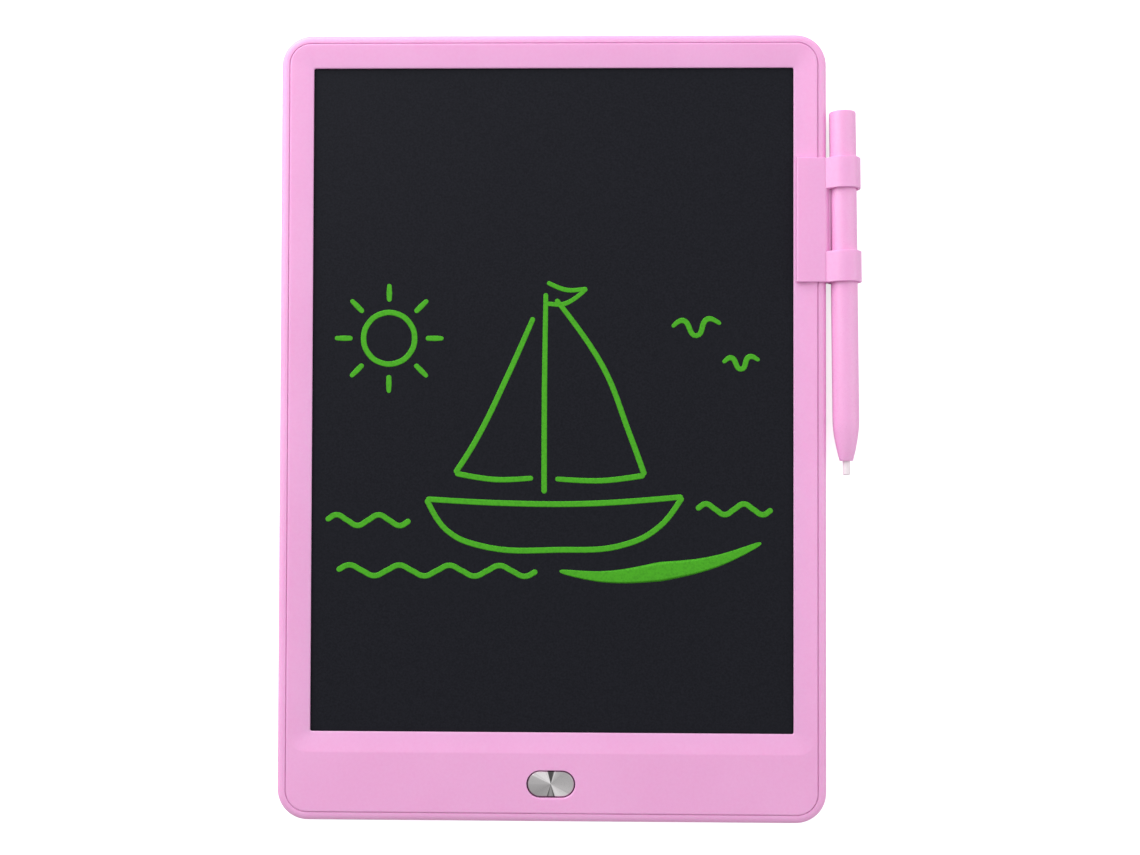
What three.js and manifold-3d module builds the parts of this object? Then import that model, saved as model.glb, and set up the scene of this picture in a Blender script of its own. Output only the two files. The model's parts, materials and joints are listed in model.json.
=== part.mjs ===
// An LCD writing tablet of the ten inch class, with its stylus in the clip at the right edge.
// It lies on its back: +Z comes out of the screen, +Y points to the top edge, +X to the stylus.
// The origin is the middle of the flat back. Lengths are millimetres.
import * as THREE from "three";
import { mergeVertices } from "three/addons/utils/BufferGeometryUtils.js";
import Module from "manifold-3d";

const wasm = await Module();
wasm.setup();

// Body
const bodyWidth = 169;
const bodyHeight = 243;
const bodyThickness = 7;
const bodyCornerRadius = 8.5;

// Borders around the screen window
const sideBorder = 10.1;
const topBorder = 10.3;
const bottomBorder = 27.3;
const windowCornerRadius = 0.6;

// Clearances
const layGap = 0.05; // between flat pieces that lie on each other
const runGap = 0.3; // round a piece that moves or drops in
const cutOverrun = 1; // how far a cutter passes the face that it opens

// Rear shell
const rimWidth = 2.65;
const rimDrop = 0.2; // the rim's top lies this far under the bezel's flat front
const rimChamfer = 0.25;
const edgeRound = 2;
const floorThickness = 1.5;
const ribWidth = 1.2;
const ribPitch = 32;
const ribStep = 0.2; // the ribs along the body stay this much lower than those across it
const bossRadius = 2.1;

// Front bezel
const seamGap = 0.35;
const bezelThickness = 1.5;
const bezelChamfer = 0.3;
const surroundDrop = 1; // how far the border falls from its crease to the window
const surroundInset = 0.5;
const surroundCornerRadius = 5.5;
const chinCreaseBelowWindow = 6.3;
const skirtWall = 1.2;
const skirtDepth = 1.85;

// Snap hooks of the bezel and the catches of the shell
const hookLength = 8;
const hookReach = 0.6;
const hookHeight = 1.3;
const hookRamp = 0.6;
const longSideHookShares = [-0.32, 0, 0.32];
const shortSideHookShares = [-0.3, 0.3];

// Screen stack, from the bezel down
const tapeThickness = 0.25;
const filmThickness = 0.25;
const crystalThickness = 0.35;
const backingThickness = 1.5;
const filmMargin = 3; // hidden under the bezel at the sides and the top
const filmBottomMargin = 2.2;
const tapeInset = 0.4; // from the window's edge and from the film's edge
const backingChinGap = 0.55;

// Erase button
const buttonLength = 15;
const buttonWidth = 8.4;
const buttonAboveBottom = 11.7;
const buttonRecess = 0.6;
const buttonSlotChamfer = 0.3;
const buttonFaceThickness = 0.8;
const buttonFaceChamfer = 0.25;
const buttonFlangeWidth = 1.6;
const buttonFlangeThickness = 0.5;
const buttonFlangeGap = 0.25;
const buttonCollarWall = 0.8;
const buttonCollarDepth = 0.9;

// Circuit board and its parts
const boardThickness = 0.8;
const boardAboveFloor = 0.8;
const boardFromBay = 6.35;
const boardPastLock = 11.8;
const boardHeight = 20;
const boardAboveCavityEdge = 1.9;
const boardCornerRadius = 1;
const boardScrewFromEnd = 5.2;
const boardScrewFromTop = 3;
const boardScrewFromFoot = 3.2;
const boardFootScrewFromButton = 20.3;
const boardScrewRadius = 0.8;
const boardScrewHeadRadius = 1.5;
const boardScrewHeadHeight = 0.6;
const boardScrewDepth = 2;
const tactSize = 5.2;
const tactHeight = 1.1;
const tactCorner = 0.7;
const tactPlungerRadius = 1.2;
const tactPlungerDepth = 0.6;
const chipLength = 5;
const chipWidth = 3.9;
const chipHeight = 1.2;
const chipDraft = 0.2;
const chipLeadCount = 4; // on each long side
const chipLeadPitch = 1.27;
const chipLeadWidth = 0.42;
const chipLeadReach = 1;
const chipLeadThickness = 0.2;
const chipFromButton = 14.4;
const chipHeightShare = 0.76;
const coilRadius = 2.1;
const coilHeight = 1.2;
const coilFlange = 0.3;
const coilWaist = 0.5;
const coilFromButton = 21.4;
const coilHeightShare = 0.76;
const capacitorLength = 2;
const capacitorWidth = 1.25;
const capacitorHeight = 0.9;
const capacitorEnd = 0.45;
const capacitorSwell = 0.06;
const capacitorCount = 4;
const capacitorPitch = 3;
const capacitorFromButton = 30.2;
const capacitorHeightShare = 0.88;

// Lock slider on the back
const lockFromButton = 32.2;
const lockHeightShare = 0.42;
const lockTravel = 2.4;
const lockPadLength = 6.6;
const lockPadWidth = 4.4;
const lockDishDepth = 0.85;
const lockDishWall = 1.1;
const lockPadLift = 0.15; // the pad's face lies this far inside the back's plane
const lockGripWidth = 0.5;
const lockGripDepth = 0.25;
const lockGripCount = 3;
const lockStemLength = 3.4;
const lockStemWidth = 2.2;
const lockFlangeWidth = 1.3;
const lockFlangeThickness = 0.6;
const leverSize = 1.2;
const leverInKnob = 0.4;
const leverInSwitch = 0.8;
const switchLength = 8.6;
const switchWidth = 3.8;
const switchHeight = 1.2;

// Coin cell, its contacts and its door
const cellRadius = 10;
const cellThickness = 2.5;
const cellCapRadius = 8.7;
const cellCapHeight = 0.35;
const cellEdgeRound = 0.35;
const cellFromHinge = 13.5;
const bayFoot = 1.5; // between the cell's bore and the shell's lower wall
const bayWall = 0.9;
const bayTabWall = 1.4;
const bayHeight = 3.4;
const hingeFromSide = 10;
const doorPastCell = 0.8; // how far the door's long edges pass the cell
const doorThickness = 1;
const doorCornerRadius = 3;
const doorGap = 0.25;
const doorTabWidth = 4;
const doorTabReach = 1.2;
const doorTabThickness = 1;
const doorTabRoot = 1;
const doorTabSpread = 14;
const doorTabSwing = 2.3; // room that the tabs' roots sweep as the door swings
const doorScrewFromBore = 5.45;
const doorScrewFromEnd = 3.8;
const doorScrewRadius = 0.85;
const doorScrewHeadRadius = 1.5;
const doorScrewHeadHeight = 0.5;
const doorScrewSink = 0.1;
const doorScrewReach = 3.1;
const doorNailLength = 5;
const doorNailDepth = 0.5;
const contactThickness = 0.2;
const contactWidth = 3;
const contactFoot = 4;
const contactStep = 1.2;
const contactPastCentre = 2;
const contactNegativeShare = 0.1;
const contactPositiveShare = 0.5;
const contactLeafBottom = 1.7;

// Flat cable between the screen and the board
const cableWidth = 10;
const cableThickness = 0.15;
const cableLap = 1.4;
const cableFoot = 2.4;
const cableRun = 2;
const cableFromButton = 1;

// Stylus
const penRadius = 4.05;
const penLength = 112.4;
const penAboveHolder = 14.7;
const penTopRound = 1.3;
const penTopDome = 0.35;
const penNoseLength = 13.1;
const penNoseRadius = 2.1;
const penNoseShare = 0.42; // where the nose's curve turns most
const nibRadius = 1.15;
const nibTipRound = 0.55;
const nibLength = 4.45;
const nibStem = 8;
const nibGap = 0.1;
const penLean = 0.6; // degrees, with its top towards the body

// Stylus clip
const holderLength = 38.3;
const holderBelowTop = 38.65;
const holderWall = 0.7;
const holderPlateHeight = 1;
const holderPlateReach = 9.4;
const holderPlateRound = 2.6;
const holderPlateEdge = 0.4;
const holderBackReach = 12.5;
const holderBackThickness = 0.9;
const holderBackRound = 2;
const holderGap = 0.1;
const holderPadRise = 0.9;
const loopLength = 9.5;
const loopWall = 1;
const loopLift = 0.1;
const loopGap = 0.25; // between the pen and the loops' bores
const loopCornerAngle = 45;
const loopCornerShare = 1.19; // of the loop's radius, where the sides of its front corner meet
const loopCornerCut = 0.5; // how far along each side the corner is cut off
const webReach = 2.2; // how far the web between the loops runs out from the wall, under the pen
const webThickness = 0.8;

// Steps of the round stretches, and how near two points of an outline count as one
const cornerSteps = 5; // of each eighth of a circle
const loopSteps = 14;
const edgeSteps = 4;
const noseSteps = 8;
const boreSteps = 40;
const smallSteps = 20;
const weldDistance = 0.001;

// Planes and places that follow
const halfWidth = bodyWidth / 2;
const halfHeight = bodyHeight / 2;
const windowWidth = bodyWidth - 2 * sideBorder;
const windowHeight = bodyHeight - topBorder - bottomBorder;
const windowTop = halfHeight - topBorder;
const windowBottom = windowTop - windowHeight;
const windowY = (windowTop + windowBottom) / 2;
const rimTop = bodyThickness - rimDrop;
const cavityWidth = bodyWidth - 2 * rimWidth;
const cavityHeight = bodyHeight - 2 * rimWidth;
const cavityRadius = bodyCornerRadius - rimWidth;
const cavityBottom = -cavityHeight / 2;
const bezelWidth = cavityWidth - 2 * seamGap;
const bezelHeight = cavityHeight - 2 * seamGap;
const bezelRadius = cavityRadius - seamGap;
const bezelUnder = bodyThickness - bezelThickness;
const skirtBottom = bezelUnder - skirtDepth;
const tapeBottom = bezelUnder - layGap - tapeThickness;
const filmBottom = tapeBottom - layGap - filmThickness;
const crystalBottom = filmBottom - layGap - crystalThickness;
const backingBottom = crystalBottom - layGap - backingThickness;
const ribTop = backingBottom - layGap;
const filmWidth = windowWidth + 2 * filmMargin;
const filmTopY = windowTop + filmMargin;
const filmBottomY = windowBottom - filmBottomMargin;
const cellBoreRadius = cellRadius + doorGap;
const cellY = cavityBottom + bayFoot + cellBoreRadius;
const hingeX = -halfWidth + hingeFromSide;
const cellX = hingeX + cellFromHinge;
const cellBottom = doorThickness + layGap;
const cellTop = cellBottom + cellThickness;
const doorWidth = 2 * (cellRadius + doorPastCell);
const doorScrewX = cellX + cellBoreRadius + doorScrewFromBore;
const doorLength = doorScrewX + doorScrewFromEnd - hingeX;
const bayTopY = cellY + doorWidth / 2 + doorGap + bayWall;
const bayLeft = hingeX - doorTabReach - runGap - bayTabWall;
const bayRight = hingeX + doorLength + doorGap + bayWall;
const lockX = lockFromButton;
const boardLeft = bayRight + boardFromBay;
const boardRight = lockX + boardPastLock;
const boardBottom = floorThickness + boardAboveFloor;
const boardTop = boardBottom + boardThickness;
const onBoard = boardTop + layGap;
const boardBottomY = cavityBottom + boardAboveCavityEdge;
const boardTopY = boardBottomY + boardHeight;
const buttonY = -halfHeight + buttonAboveBottom;
const buttonFaceTop = bodyThickness - buttonRecess;
const buttonFaceBottom = buttonFaceTop - buttonFaceThickness;
const flangeTop = bezelUnder - buttonFlangeGap;
const flangeBottom = flangeTop - buttonFlangeThickness;
const lockY = boardBottomY + lockHeightShare * boardHeight;
const holderTopY = halfHeight - holderBelowTop;
const holderY = holderTopY - holderLength / 2;
const holderOutside = halfWidth + holderGap + holderWall;
const leanRoom = (Math.sin(THREE.MathUtils.degToRad(penLean)) * holderLength) / 2;
const penX = holderOutside + runGap + leanRoom + penRadius;
const loopBore = penRadius + loopGap;
const loopRadius = loopBore + loopWall;
const penZ = loopRadius + loopLift;
const penTopY = holderTopY + penAboveHolder;
const noseEndY = penTopY - penLength + nibLength;

// Finishes
function finish(color, roughness, metalness = 0) {
  return new THREE.MeshStandardMaterial({ color, roughness, metalness });
}
const pinkPlastic = finish(0xf0aadc, 0.4);
const whitePlastic = finish(0xf4ecee, 0.45);
const greyPlastic = finish(0x5b5e63, 0.6);
const blackPlastic = finish(0x1b1c1f, 0.5);
const clearFilm = finish(0x3a3f45, 0.35);
const darkCrystal = finish(0x22252a, 0.5);
const blackTape = finish(0x141416, 0.8);
const boardGreen = finish(0x1f5a3a, 0.55);
const copperCoil = finish(0xa8623a, 0.45, 0.6);
const ceramic = finish(0xb79a74, 0.6);
const amberCable = finish(0xc07a2a, 0.5);
const brushedSteel = finish(0xb9bcc2, 0.35, 1);
const brightSteel = finish(0xc9ccd0, 0.25, 1);

// Solids
function solid(geometry) {
  const source = geometry.index ? geometry.toNonIndexed() : geometry.clone();
  source.deleteAttribute("normal");
  source.deleteAttribute("uv");
  const merged = mergeVertices(source);
  const vertProperties = merged.attributes.position.array;
  const triVerts = new Uint32Array(merged.index.array);
  return new wasm.Manifold(new wasm.Mesh({ numProp: 3, vertProperties, triVerts }));
}

function geometryOf(made) {
  const { vertProperties, triVerts } = made.getMesh();
  const geometry = new THREE.BufferGeometry();
  geometry.setAttribute("position", new THREE.BufferAttribute(vertProperties, 3));
  geometry.setIndex(new THREE.BufferAttribute(triVerts, 1));
  return geometry;
}

function join(solids) {
  return solids.reduce((sum, next) => sum.add(next));
}

function cut(body, cutters) {
  return cutters.reduce((rest, next) => rest.subtract(next), body);
}

function piece(name, made, material) {
  const geometry = made.isBufferGeometry ? made : geometryOf(made);
  const mesh = new THREE.Mesh(geometry, material);
  mesh.name = name;
  return mesh;
}

function pieces(name, solids, material) {
  return solids.map((made, i) => piece(`${name}_${i + 1}`, made, material));
}

// Outlines in the XY plane
function roundedRect(width, height, radius) {
  const shape = new THREE.Shape();
  const x = width / 2;
  const y = height / 2;
  shape.moveTo(radius - x, -y);
  shape.absarc(x - radius, radius - y, radius, -Math.PI / 2, 0);
  shape.absarc(x - radius, y - radius, radius, 0, Math.PI / 2);
  shape.absarc(radius - x, y - radius, radius, Math.PI / 2, Math.PI);
  shape.absarc(radius - x, radius - y, radius, Math.PI, 1.5 * Math.PI);
  return shape;
}

function stadium(length, width) {
  return roundedRect(length, width, width / 2);
}

function circle(radius) {
  return new THREE.Shape().absarc(0, 0, radius, 0, 2 * Math.PI);
}

// A shape raised between two heights, with its middle moved to x and y
function slab(shape, bottom, top, x = 0, y = 0, steps = cornerSteps) {
  const settings = { depth: top - bottom, bevelEnabled: false, curveSegments: steps };
  return solid(new THREE.ExtrudeGeometry(shape, settings).translate(x, y, bottom));
}

function box(left, right, low, high, bottom, top) {
  const geometry = new THREE.BoxGeometry(right - left, high - low, top - bottom);
  geometry.translate((left + right) / 2, (low + high) / 2, (bottom + top) / 2);
  return solid(geometry);
}

function rod(radius, bottom, top, x, y, steps = smallSteps) {
  const geometry = new THREE.CylinderGeometry(radius, radius, top - bottom, steps);
  geometry.rotateX(Math.PI / 2).translate(x, y, (bottom + top) / 2);
  return solid(geometry);
}

// A skin through rings of equal count, each at its own height, closed by a face at both ends
function loft(rings) {
  const count = rings[0].points.length;
  const corners = rings.flatMap(({ points, z }) => points.flatMap((p) => [p.x, p.y, z]));
  const faces = [];
  for (let ring = 1; ring < rings.length; ring++)
    for (let i = 0; i < count; i++) {
      const a = (ring - 1) * count + i;
      const b = (ring - 1) * count + ((i + 1) % count);
      faces.push(a, b, b + count, a, b + count, a + count);
    }
  const top = (rings.length - 1) * count;
  for (const [a, b, c] of THREE.ShapeUtils.triangulateShape(rings[0].points, []))
    faces.push(c, b, a);
  for (const [a, b, c] of THREE.ShapeUtils.triangulateShape(rings.at(-1).points, []))
    faces.push(top + a, top + b, top + c);
  const geometry = new THREE.BufferGeometry();
  geometry.setAttribute("position", new THREE.Float32BufferAttribute(corners, 3));
  geometry.setIndex(faces);
  return solid(geometry);
}

// One ring of a loft: the outline's points without the repeated last one, moved by x and y
function ring(shape, z, x = 0, y = 0, steps = cornerSteps) {
  const points = shape.getPoints(steps).map((p) => new THREE.Vector2(p.x + x, p.y + y));
  const first = points[0];
  const kept = points.filter((p, i) => !i || p.distanceTo(points[i - 1]) > weldDistance);
  if (kept.at(-1).distanceTo(first) < weldDistance) kept.pop();
  return { points: kept, z };
}

// A section drawn in X and Z, run along Y
function alongY(section, low, high, steps = cornerSteps) {
  const settings = { depth: high - low, bevelEnabled: false, curveSegments: steps };
  const geometry = new THREE.ExtrudeGeometry(section, settings);
  return solid(geometry.rotateX(Math.PI / 2).translate(0, high, 0));
}

// A section drawn in Y and Z, run along X
function alongX(section, left, right) {
  const settings = { depth: right - left, bevelEnabled: false, curveSegments: cornerSteps };
  const turn = new THREE.Matrix4().makeBasis(
    new THREE.Vector3(0, 1, 0),
    new THREE.Vector3(0, 0, 1),
    new THREE.Vector3(1, 0, 0),
  );
  const geometry = new THREE.ExtrudeGeometry(section, settings).applyMatrix4(turn);
  return solid(geometry.translate(left, 0, 0));
}

// The section of a strip of metal or film that follows a bent line, its underside on the line
function stripSection(line, thickness) {
  const path = line.map(([u, v]) => new THREE.Vector2(u, v));
  const upper = path.map((point, i) => {
    const before = path[Math.max(i - 1, 0)];
    const after = path[Math.min(i + 1, path.length - 1)];
    const into = point.clone().sub(i ? before : point.clone().multiplyScalar(2).sub(after)).normalize();
    const out = (i < path.length - 1 ? after.clone().sub(point) : into.clone()).normalize();
    const middle = into.clone().add(out).normalize();
    const reach = thickness / middle.dot(into);
    return point.clone().add(new THREE.Vector2(-middle.y, middle.x).multiplyScalar(reach));
  });
  return new THREE.Shape([...path, ...upper.reverse()]);
}

// Places of the snap hooks: the middle of each, the way it faces and how far its wall is
function hookPlaces() {
  const sides = [
    { turn: 0, reach: bezelWidth / 2, run: bezelHeight, shares: longSideHookShares },
    { turn: Math.PI / 2, reach: bezelHeight / 2, run: bezelWidth, shares: shortSideHookShares },
    { turn: Math.PI, reach: bezelWidth / 2, run: bezelHeight, shares: longSideHookShares },
    { turn: -Math.PI / 2, reach: bezelHeight / 2, run: bezelWidth, shares: shortSideHookShares },
  ];
  return sides.flatMap(({ turn, reach, run, shares }) =>
    shares.map((share) => ({ turn, reach, along: share * run })),
  );
}

// A section drawn outward and up, run along one side of the body and set at its place
function atSide(section, length, { turn, reach, along }) {
  const settings = { depth: length, bevelEnabled: false };
  const geometry = new THREE.ExtrudeGeometry(section, settings);
  geometry.rotateX(Math.PI / 2).translate(reach, along + length / 2, 0).rotateZ(turn);
  return solid(geometry);
}

// Rear shell
function outerBody() {
  const shape = roundedRect(
    bodyWidth - 2 * edgeRound,
    bodyHeight - 2 * edgeRound,
    bodyCornerRadius - edgeRound,
  );
  const geometry = new THREE.ExtrudeGeometry(shape, {
    depth: rimTop - 2 * edgeRound,
    bevelThickness: edgeRound,
    bevelSize: edgeRound,
    bevelSegments: edgeSteps,
    curveSegments: cornerSteps,
  });
  return solid(geometry.translate(0, 0, edgeRound));
}

function shellCavity() {
  const outline = roundedRect(cavityWidth, cavityHeight, cavityRadius);
  const mouth = rimChamfer + cutOverrun;
  const wide = roundedRect(cavityWidth + 2 * mouth, cavityHeight + 2 * mouth, cavityRadius + mouth);
  return loft([
    ring(outline, floorThickness),
    ring(outline, rimTop - rimChamfer),
    ring(wide, rimTop + cutOverrun),
  ]);
}

function shellRibs() {
  const low = bayTopY;
  const high = cavityHeight / 2 + seamGap;
  const side = cavityWidth / 2 + seamGap;
  const ribs = [];
  const across = Math.floor((high - low) / ribPitch);
  for (let i = 0; i <= across; i++) {
    const y = low + ribWidth / 2 + i * ribPitch;
    ribs.push(box(-side, side, y - ribWidth / 2, y + ribWidth / 2, floorThickness - layGap, ribTop));
  }
  const halfCount = Math.floor(side / ribPitch);
  for (let i = -halfCount; i <= halfCount; i++) {
    const x = i * ribPitch;
    const crest = ribTop - ribStep;
    ribs.push(box(x - ribWidth / 2, x + ribWidth / 2, low, high, floorThickness - layGap, crest));
  }
  return ribs;
}

function boardScrewPlaces() {
  const top = boardTopY - boardScrewFromTop;
  return [
    { x: boardLeft + boardScrewFromEnd, y: top },
    { x: boardRight - boardScrewFromEnd, y: top },
    { x: boardFootScrewFromButton, y: boardBottomY + boardScrewFromFoot },
  ];
}

function shellBosses() {
  const top = boardBottom - layGap;
  const root = floorThickness - layGap;
  return boardScrewPlaces().map(({ x, y }) => rod(bossRadius, root, top, x, y));
}

function shellBossHoles() {
  const depth = boardTop - boardScrewDepth - layGap;
  return boardScrewPlaces().map(({ x, y }) => rod(boardScrewRadius + layGap, depth, boardTop, x, y));
}

function bayBlock() {
  const root = floorThickness - layGap;
  return box(bayLeft, bayRight, cavityBottom - seamGap, bayTopY, root, bayHeight);
}

function doorTabPlaces() {
  return [cellY - doorTabSpread / 2, cellY + doorTabSpread / 2];
}

function positiveContactX() {
  const near = contactPositiveShare * cellRadius - contactWidth / 2;
  return cellX + Math.sqrt(cellRadius ** 2 - near ** 2) + layGap;
}

function bayCuts() {
  const recess = roundedRect(
    doorLength + 2 * doorGap,
    doorWidth + 2 * doorGap,
    doorCornerRadius + doorGap,
  );
  const recessTop = doorThickness + 2 * layGap;
  const doorX = hingeX + doorLength / 2;
  const over = bayHeight + cutOverrun;
  const tabLeft = hingeX - doorTabReach - runGap;
  const tabRight = hingeX + doorTabRoot + doorTabSwing;
  const tabs = doorTabPlaces().map((y) => {
    const half = doorTabWidth / 2 + runGap;
    return box(tabLeft, tabRight, y - half, y + half, doorThickness, over);
  });
  const leafX = positiveContactX();
  const leafY = cellY - contactPositiveShare * cellRadius;
  const leafHalf = contactWidth / 2 + runGap;
  const leafPast = leafX + contactThickness + contactStep;
  return [
    slab(recess, -cutOverrun, recessTop, doorX, cellY),
    rod(cellBoreRadius, -cutOverrun, over, cellX, cellY, boreSteps),
    rod(doorScrewRadius + runGap, -cutOverrun, over, doorScrewX, cellY),
    box(cellX, leafPast, leafY - leafHalf, leafY + leafHalf, contactLeafBottom - runGap, over),
    ...tabs,
  ];
}

function lockCuts() {
  const dish = stadium(
    lockPadLength + lockTravel + 2 * lockDishWall,
    lockPadWidth + 2 * lockDishWall,
  );
  const slot = stadium(lockStemLength + lockTravel + 2 * runGap, lockStemWidth + 2 * runGap);
  return [
    slab(dish, -cutOverrun, lockDishDepth, lockX, lockY),
    slab(slot, -cutOverrun, floorThickness + cutOverrun, lockX, lockY),
  ];
}

function catchPockets() {
  const inner = -seamGap;
  const outer = hookReach + runGap;
  const low = skirtBottom;
  const high = skirtBottom + hookHeight + runGap;
  const section = new THREE.Shape([
    new THREE.Vector2(inner, low),
    new THREE.Vector2(outer, low),
    new THREE.Vector2(outer, high),
    new THREE.Vector2(inner, high),
  ]);
  return hookPlaces().map((place) => atSide(section, hookLength + 2 * runGap, place));
}

// Room in the shell's back and lower edge for the clip's rear plate, and the pad that backs it
function holderRecess() {
  const left = halfWidth - holderBackReach - holderGap;
  const half = holderLength / 2 + holderGap;
  const right = halfWidth + cutOverrun;
  const depth = holderBackThickness + holderGap;
  return box(left, right, holderY - half, holderY + half, -cutOverrun, depth);
}

function holderPad() {
  const left = halfWidth - holderBackReach - holderGap - ribWidth;
  const half = holderLength / 2 + holderGap + ribWidth;
  const right = cavityWidth / 2 + seamGap;
  const root = floorThickness - layGap;
  return box(left, right, holderY - half, holderY + half, root, floorThickness + holderPadRise);
}

function rearShell() {
  const tray = cut(outerBody(), [shellCavity()]);
  const filled = join([tray, ...shellRibs(), ...shellBosses(), bayBlock(), holderPad()]);
  return cut(filled, [
    ...shellBossHoles(),
    ...bayCuts(),
    ...lockCuts(),
    ...catchPockets(),
    holderRecess(),
  ]);
}

// Front bezel
function bezelPlate() {
  const outline = roundedRect(bezelWidth, bezelHeight, bezelRadius);
  const front = roundedRect(
    bezelWidth - 2 * bezelChamfer,
    bezelHeight - 2 * bezelChamfer,
    bezelRadius - bezelChamfer,
  );
  return loft([
    ring(outline, bezelUnder),
    ring(outline, bodyThickness - bezelChamfer),
    ring(front, bodyThickness),
  ]);
}

const surroundTop = bezelHeight / 2 - surroundInset;
const surroundBottom = windowBottom - chinCreaseBelowWindow;
const surroundWidth = bezelWidth - 2 * surroundInset;

// The slope from the crease down to the window, carried on above the front to open the cut
function surroundCut() {
  const window = roundedRect(windowWidth, windowHeight, windowCornerRadius);
  const creaseHeight = surroundTop - surroundBottom;
  const creaseY = (surroundTop + surroundBottom) / 2;
  const crease = roundedRect(surroundWidth, creaseHeight, surroundCornerRadius);
  return loft([
    ring(window, bodyThickness - surroundDrop, 0, windowY),
    ring(crease, bodyThickness, 0, creaseY),
    ring(crease, bodyThickness + cutOverrun, 0, creaseY),
  ]);
}

function windowCut() {
  const window = roundedRect(windowWidth, windowHeight, windowCornerRadius);
  return slab(window, bezelUnder - cutOverrun, bodyThickness, 0, windowY);
}

function skirt() {
  const outer = roundedRect(bezelWidth, bezelHeight, bezelRadius);
  const inner = roundedRect(
    bezelWidth - 2 * skirtWall,
    bezelHeight - 2 * skirtWall,
    bezelRadius - skirtWall,
  );
  outer.holes.push(inner);
  return slab(outer, skirtBottom, bezelUnder + layGap);
}

function hooks() {
  const low = skirtBottom;
  const section = new THREE.Shape([
    new THREE.Vector2(-skirtWall / 2, low),
    new THREE.Vector2(0, low),
    new THREE.Vector2(hookReach, low + hookRamp),
    new THREE.Vector2(hookReach, low + hookHeight),
    new THREE.Vector2(-skirtWall / 2, low + hookHeight),
  ]);
  return hookPlaces().map((place) => atSide(section, hookLength, place));
}

function buttonSlot() {
  const slot = stadium(buttonLength, buttonWidth);
  const wide = buttonSlotChamfer + cutOverrun;
  const mouth = stadium(buttonLength + 2 * wide, buttonWidth + 2 * wide);
  return loft([
    ring(slot, bezelUnder - cutOverrun, 0, buttonY),
    ring(slot, bodyThickness - buttonSlotChamfer, 0, buttonY),
    ring(mouth, bodyThickness + cutOverrun, 0, buttonY),
  ]);
}

function buttonCollar() {
  const grow = 2 * (buttonFlangeWidth + runGap);
  const inner = stadium(buttonLength + grow, buttonWidth + grow);
  const wide = grow + 2 * buttonCollarWall;
  const outer = stadium(buttonLength + wide, buttonWidth + wide);
  outer.holes.push(inner);
  return slab(outer, bezelUnder - buttonCollarDepth, bezelUnder + layGap, 0, buttonY);
}

function frontBezel() {
  const opened = cut(bezelPlate(), [surroundCut(), windowCut(), buttonSlot()]);
  return join([opened, skirt(), ...hooks(), buttonCollar()]);
}

// Screen stack
function filmSheet(bottom, thickness) {
  const height = filmTopY - filmBottomY;
  const shape = roundedRect(filmWidth, height, windowCornerRadius);
  return slab(shape, bottom, bottom + thickness, 0, (filmTopY + filmBottomY) / 2, 1);
}

function bezelTape() {
  const low = filmBottomY + tapeInset;
  const high = filmTopY - tapeInset;
  const outer = roundedRect(filmWidth - 2 * tapeInset, high - low, windowCornerRadius);
  const inner = new THREE.Path();
  const x = windowWidth / 2 + tapeInset;
  const middle = (high + low) / 2;
  inner.moveTo(-x, windowBottom - tapeInset - middle);
  inner.lineTo(x, windowBottom - tapeInset - middle);
  inner.lineTo(x, windowTop + tapeInset - middle);
  inner.lineTo(-x, windowTop + tapeInset - middle);
  inner.closePath();
  outer.holes.push(inner);
  return slab(outer, tapeBottom, tapeBottom + tapeThickness, 0, middle, 1);
}

function backingBoard() {
  const low = bayTopY + backingChinGap;
  const middle = (filmTopY + low) / 2;
  const shape = roundedRect(filmWidth, filmTopY - low, windowCornerRadius);
  return slab(shape, backingBottom, backingBottom + backingThickness, 0, middle, 1);
}

// Erase button
function buttonFace() {
  const length = buttonLength - 2 * runGap;
  const width = buttonWidth - 2 * runGap;
  const face = stadium(length, width);
  const front = stadium(length - 2 * buttonFaceChamfer, width - 2 * buttonFaceChamfer);
  return loft([
    ring(face, buttonFaceBottom, 0, buttonY),
    ring(face, buttonFaceTop - buttonFaceChamfer, 0, buttonY),
    ring(front, buttonFaceTop, 0, buttonY),
  ]);
}

function buttonCarrier() {
  const boss = stadium(buttonLength - 2 * runGap, buttonWidth - 2 * runGap);
  const grow = 2 * buttonFlangeWidth;
  const flange = stadium(buttonLength + grow, buttonWidth + grow);
  return join([
    slab(flange, flangeBottom, flangeTop, 0, buttonY),
    slab(boss, flangeBottom, buttonFaceBottom - layGap, 0, buttonY),
  ]);
}

function tactPlunger() {
  const top = flangeBottom - layGap;
  return rod(tactPlungerRadius, top - tactPlungerDepth, top, 0, buttonY);
}

function tactHousing() {
  const shape = roundedRect(tactSize, tactSize, tactCorner);
  const bore = rod(tactPlungerRadius + layGap, onBoard - cutOverrun, boardTop + tactSize, 0, buttonY);
  return cut(slab(shape, onBoard, onBoard + tactHeight, 0, buttonY, 1), [bore]);
}

// Circuit board
function circuitBoard() {
  const x = (boardLeft + boardRight) / 2;
  const y = (boardBottomY + boardTopY) / 2;
  const outline = roundedRect(boardRight - boardLeft, boardHeight, boardCornerRadius);
  const board = slab(outline, boardBottom, boardTop, x, y);
  const holeRadius = boardScrewRadius + runGap / 2;
  const holes = boardScrewPlaces().map((place) =>
    rod(holeRadius, boardBottom - cutOverrun, boardTop + cutOverrun, place.x, place.y),
  );
  const slotLength = leverSize + lockTravel + 2 * runGap;
  const slot = roundedRect(slotLength, leverSize + 2 * runGap, runGap);
  const slotCut = slab(slot, boardBottom - cutOverrun, boardTop + cutOverrun, lockX, lockY);
  return cut(board, [...holes, slotCut]);
}

function boardScrews() {
  const head = onBoard + boardScrewHeadHeight;
  return boardScrewPlaces().map(({ x, y }) =>
    join([
      rod(boardScrewHeadRadius, onBoard, head, x, y),
      rod(boardScrewRadius, boardTop - boardScrewDepth, head, x, y),
    ]),
  );
}

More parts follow.
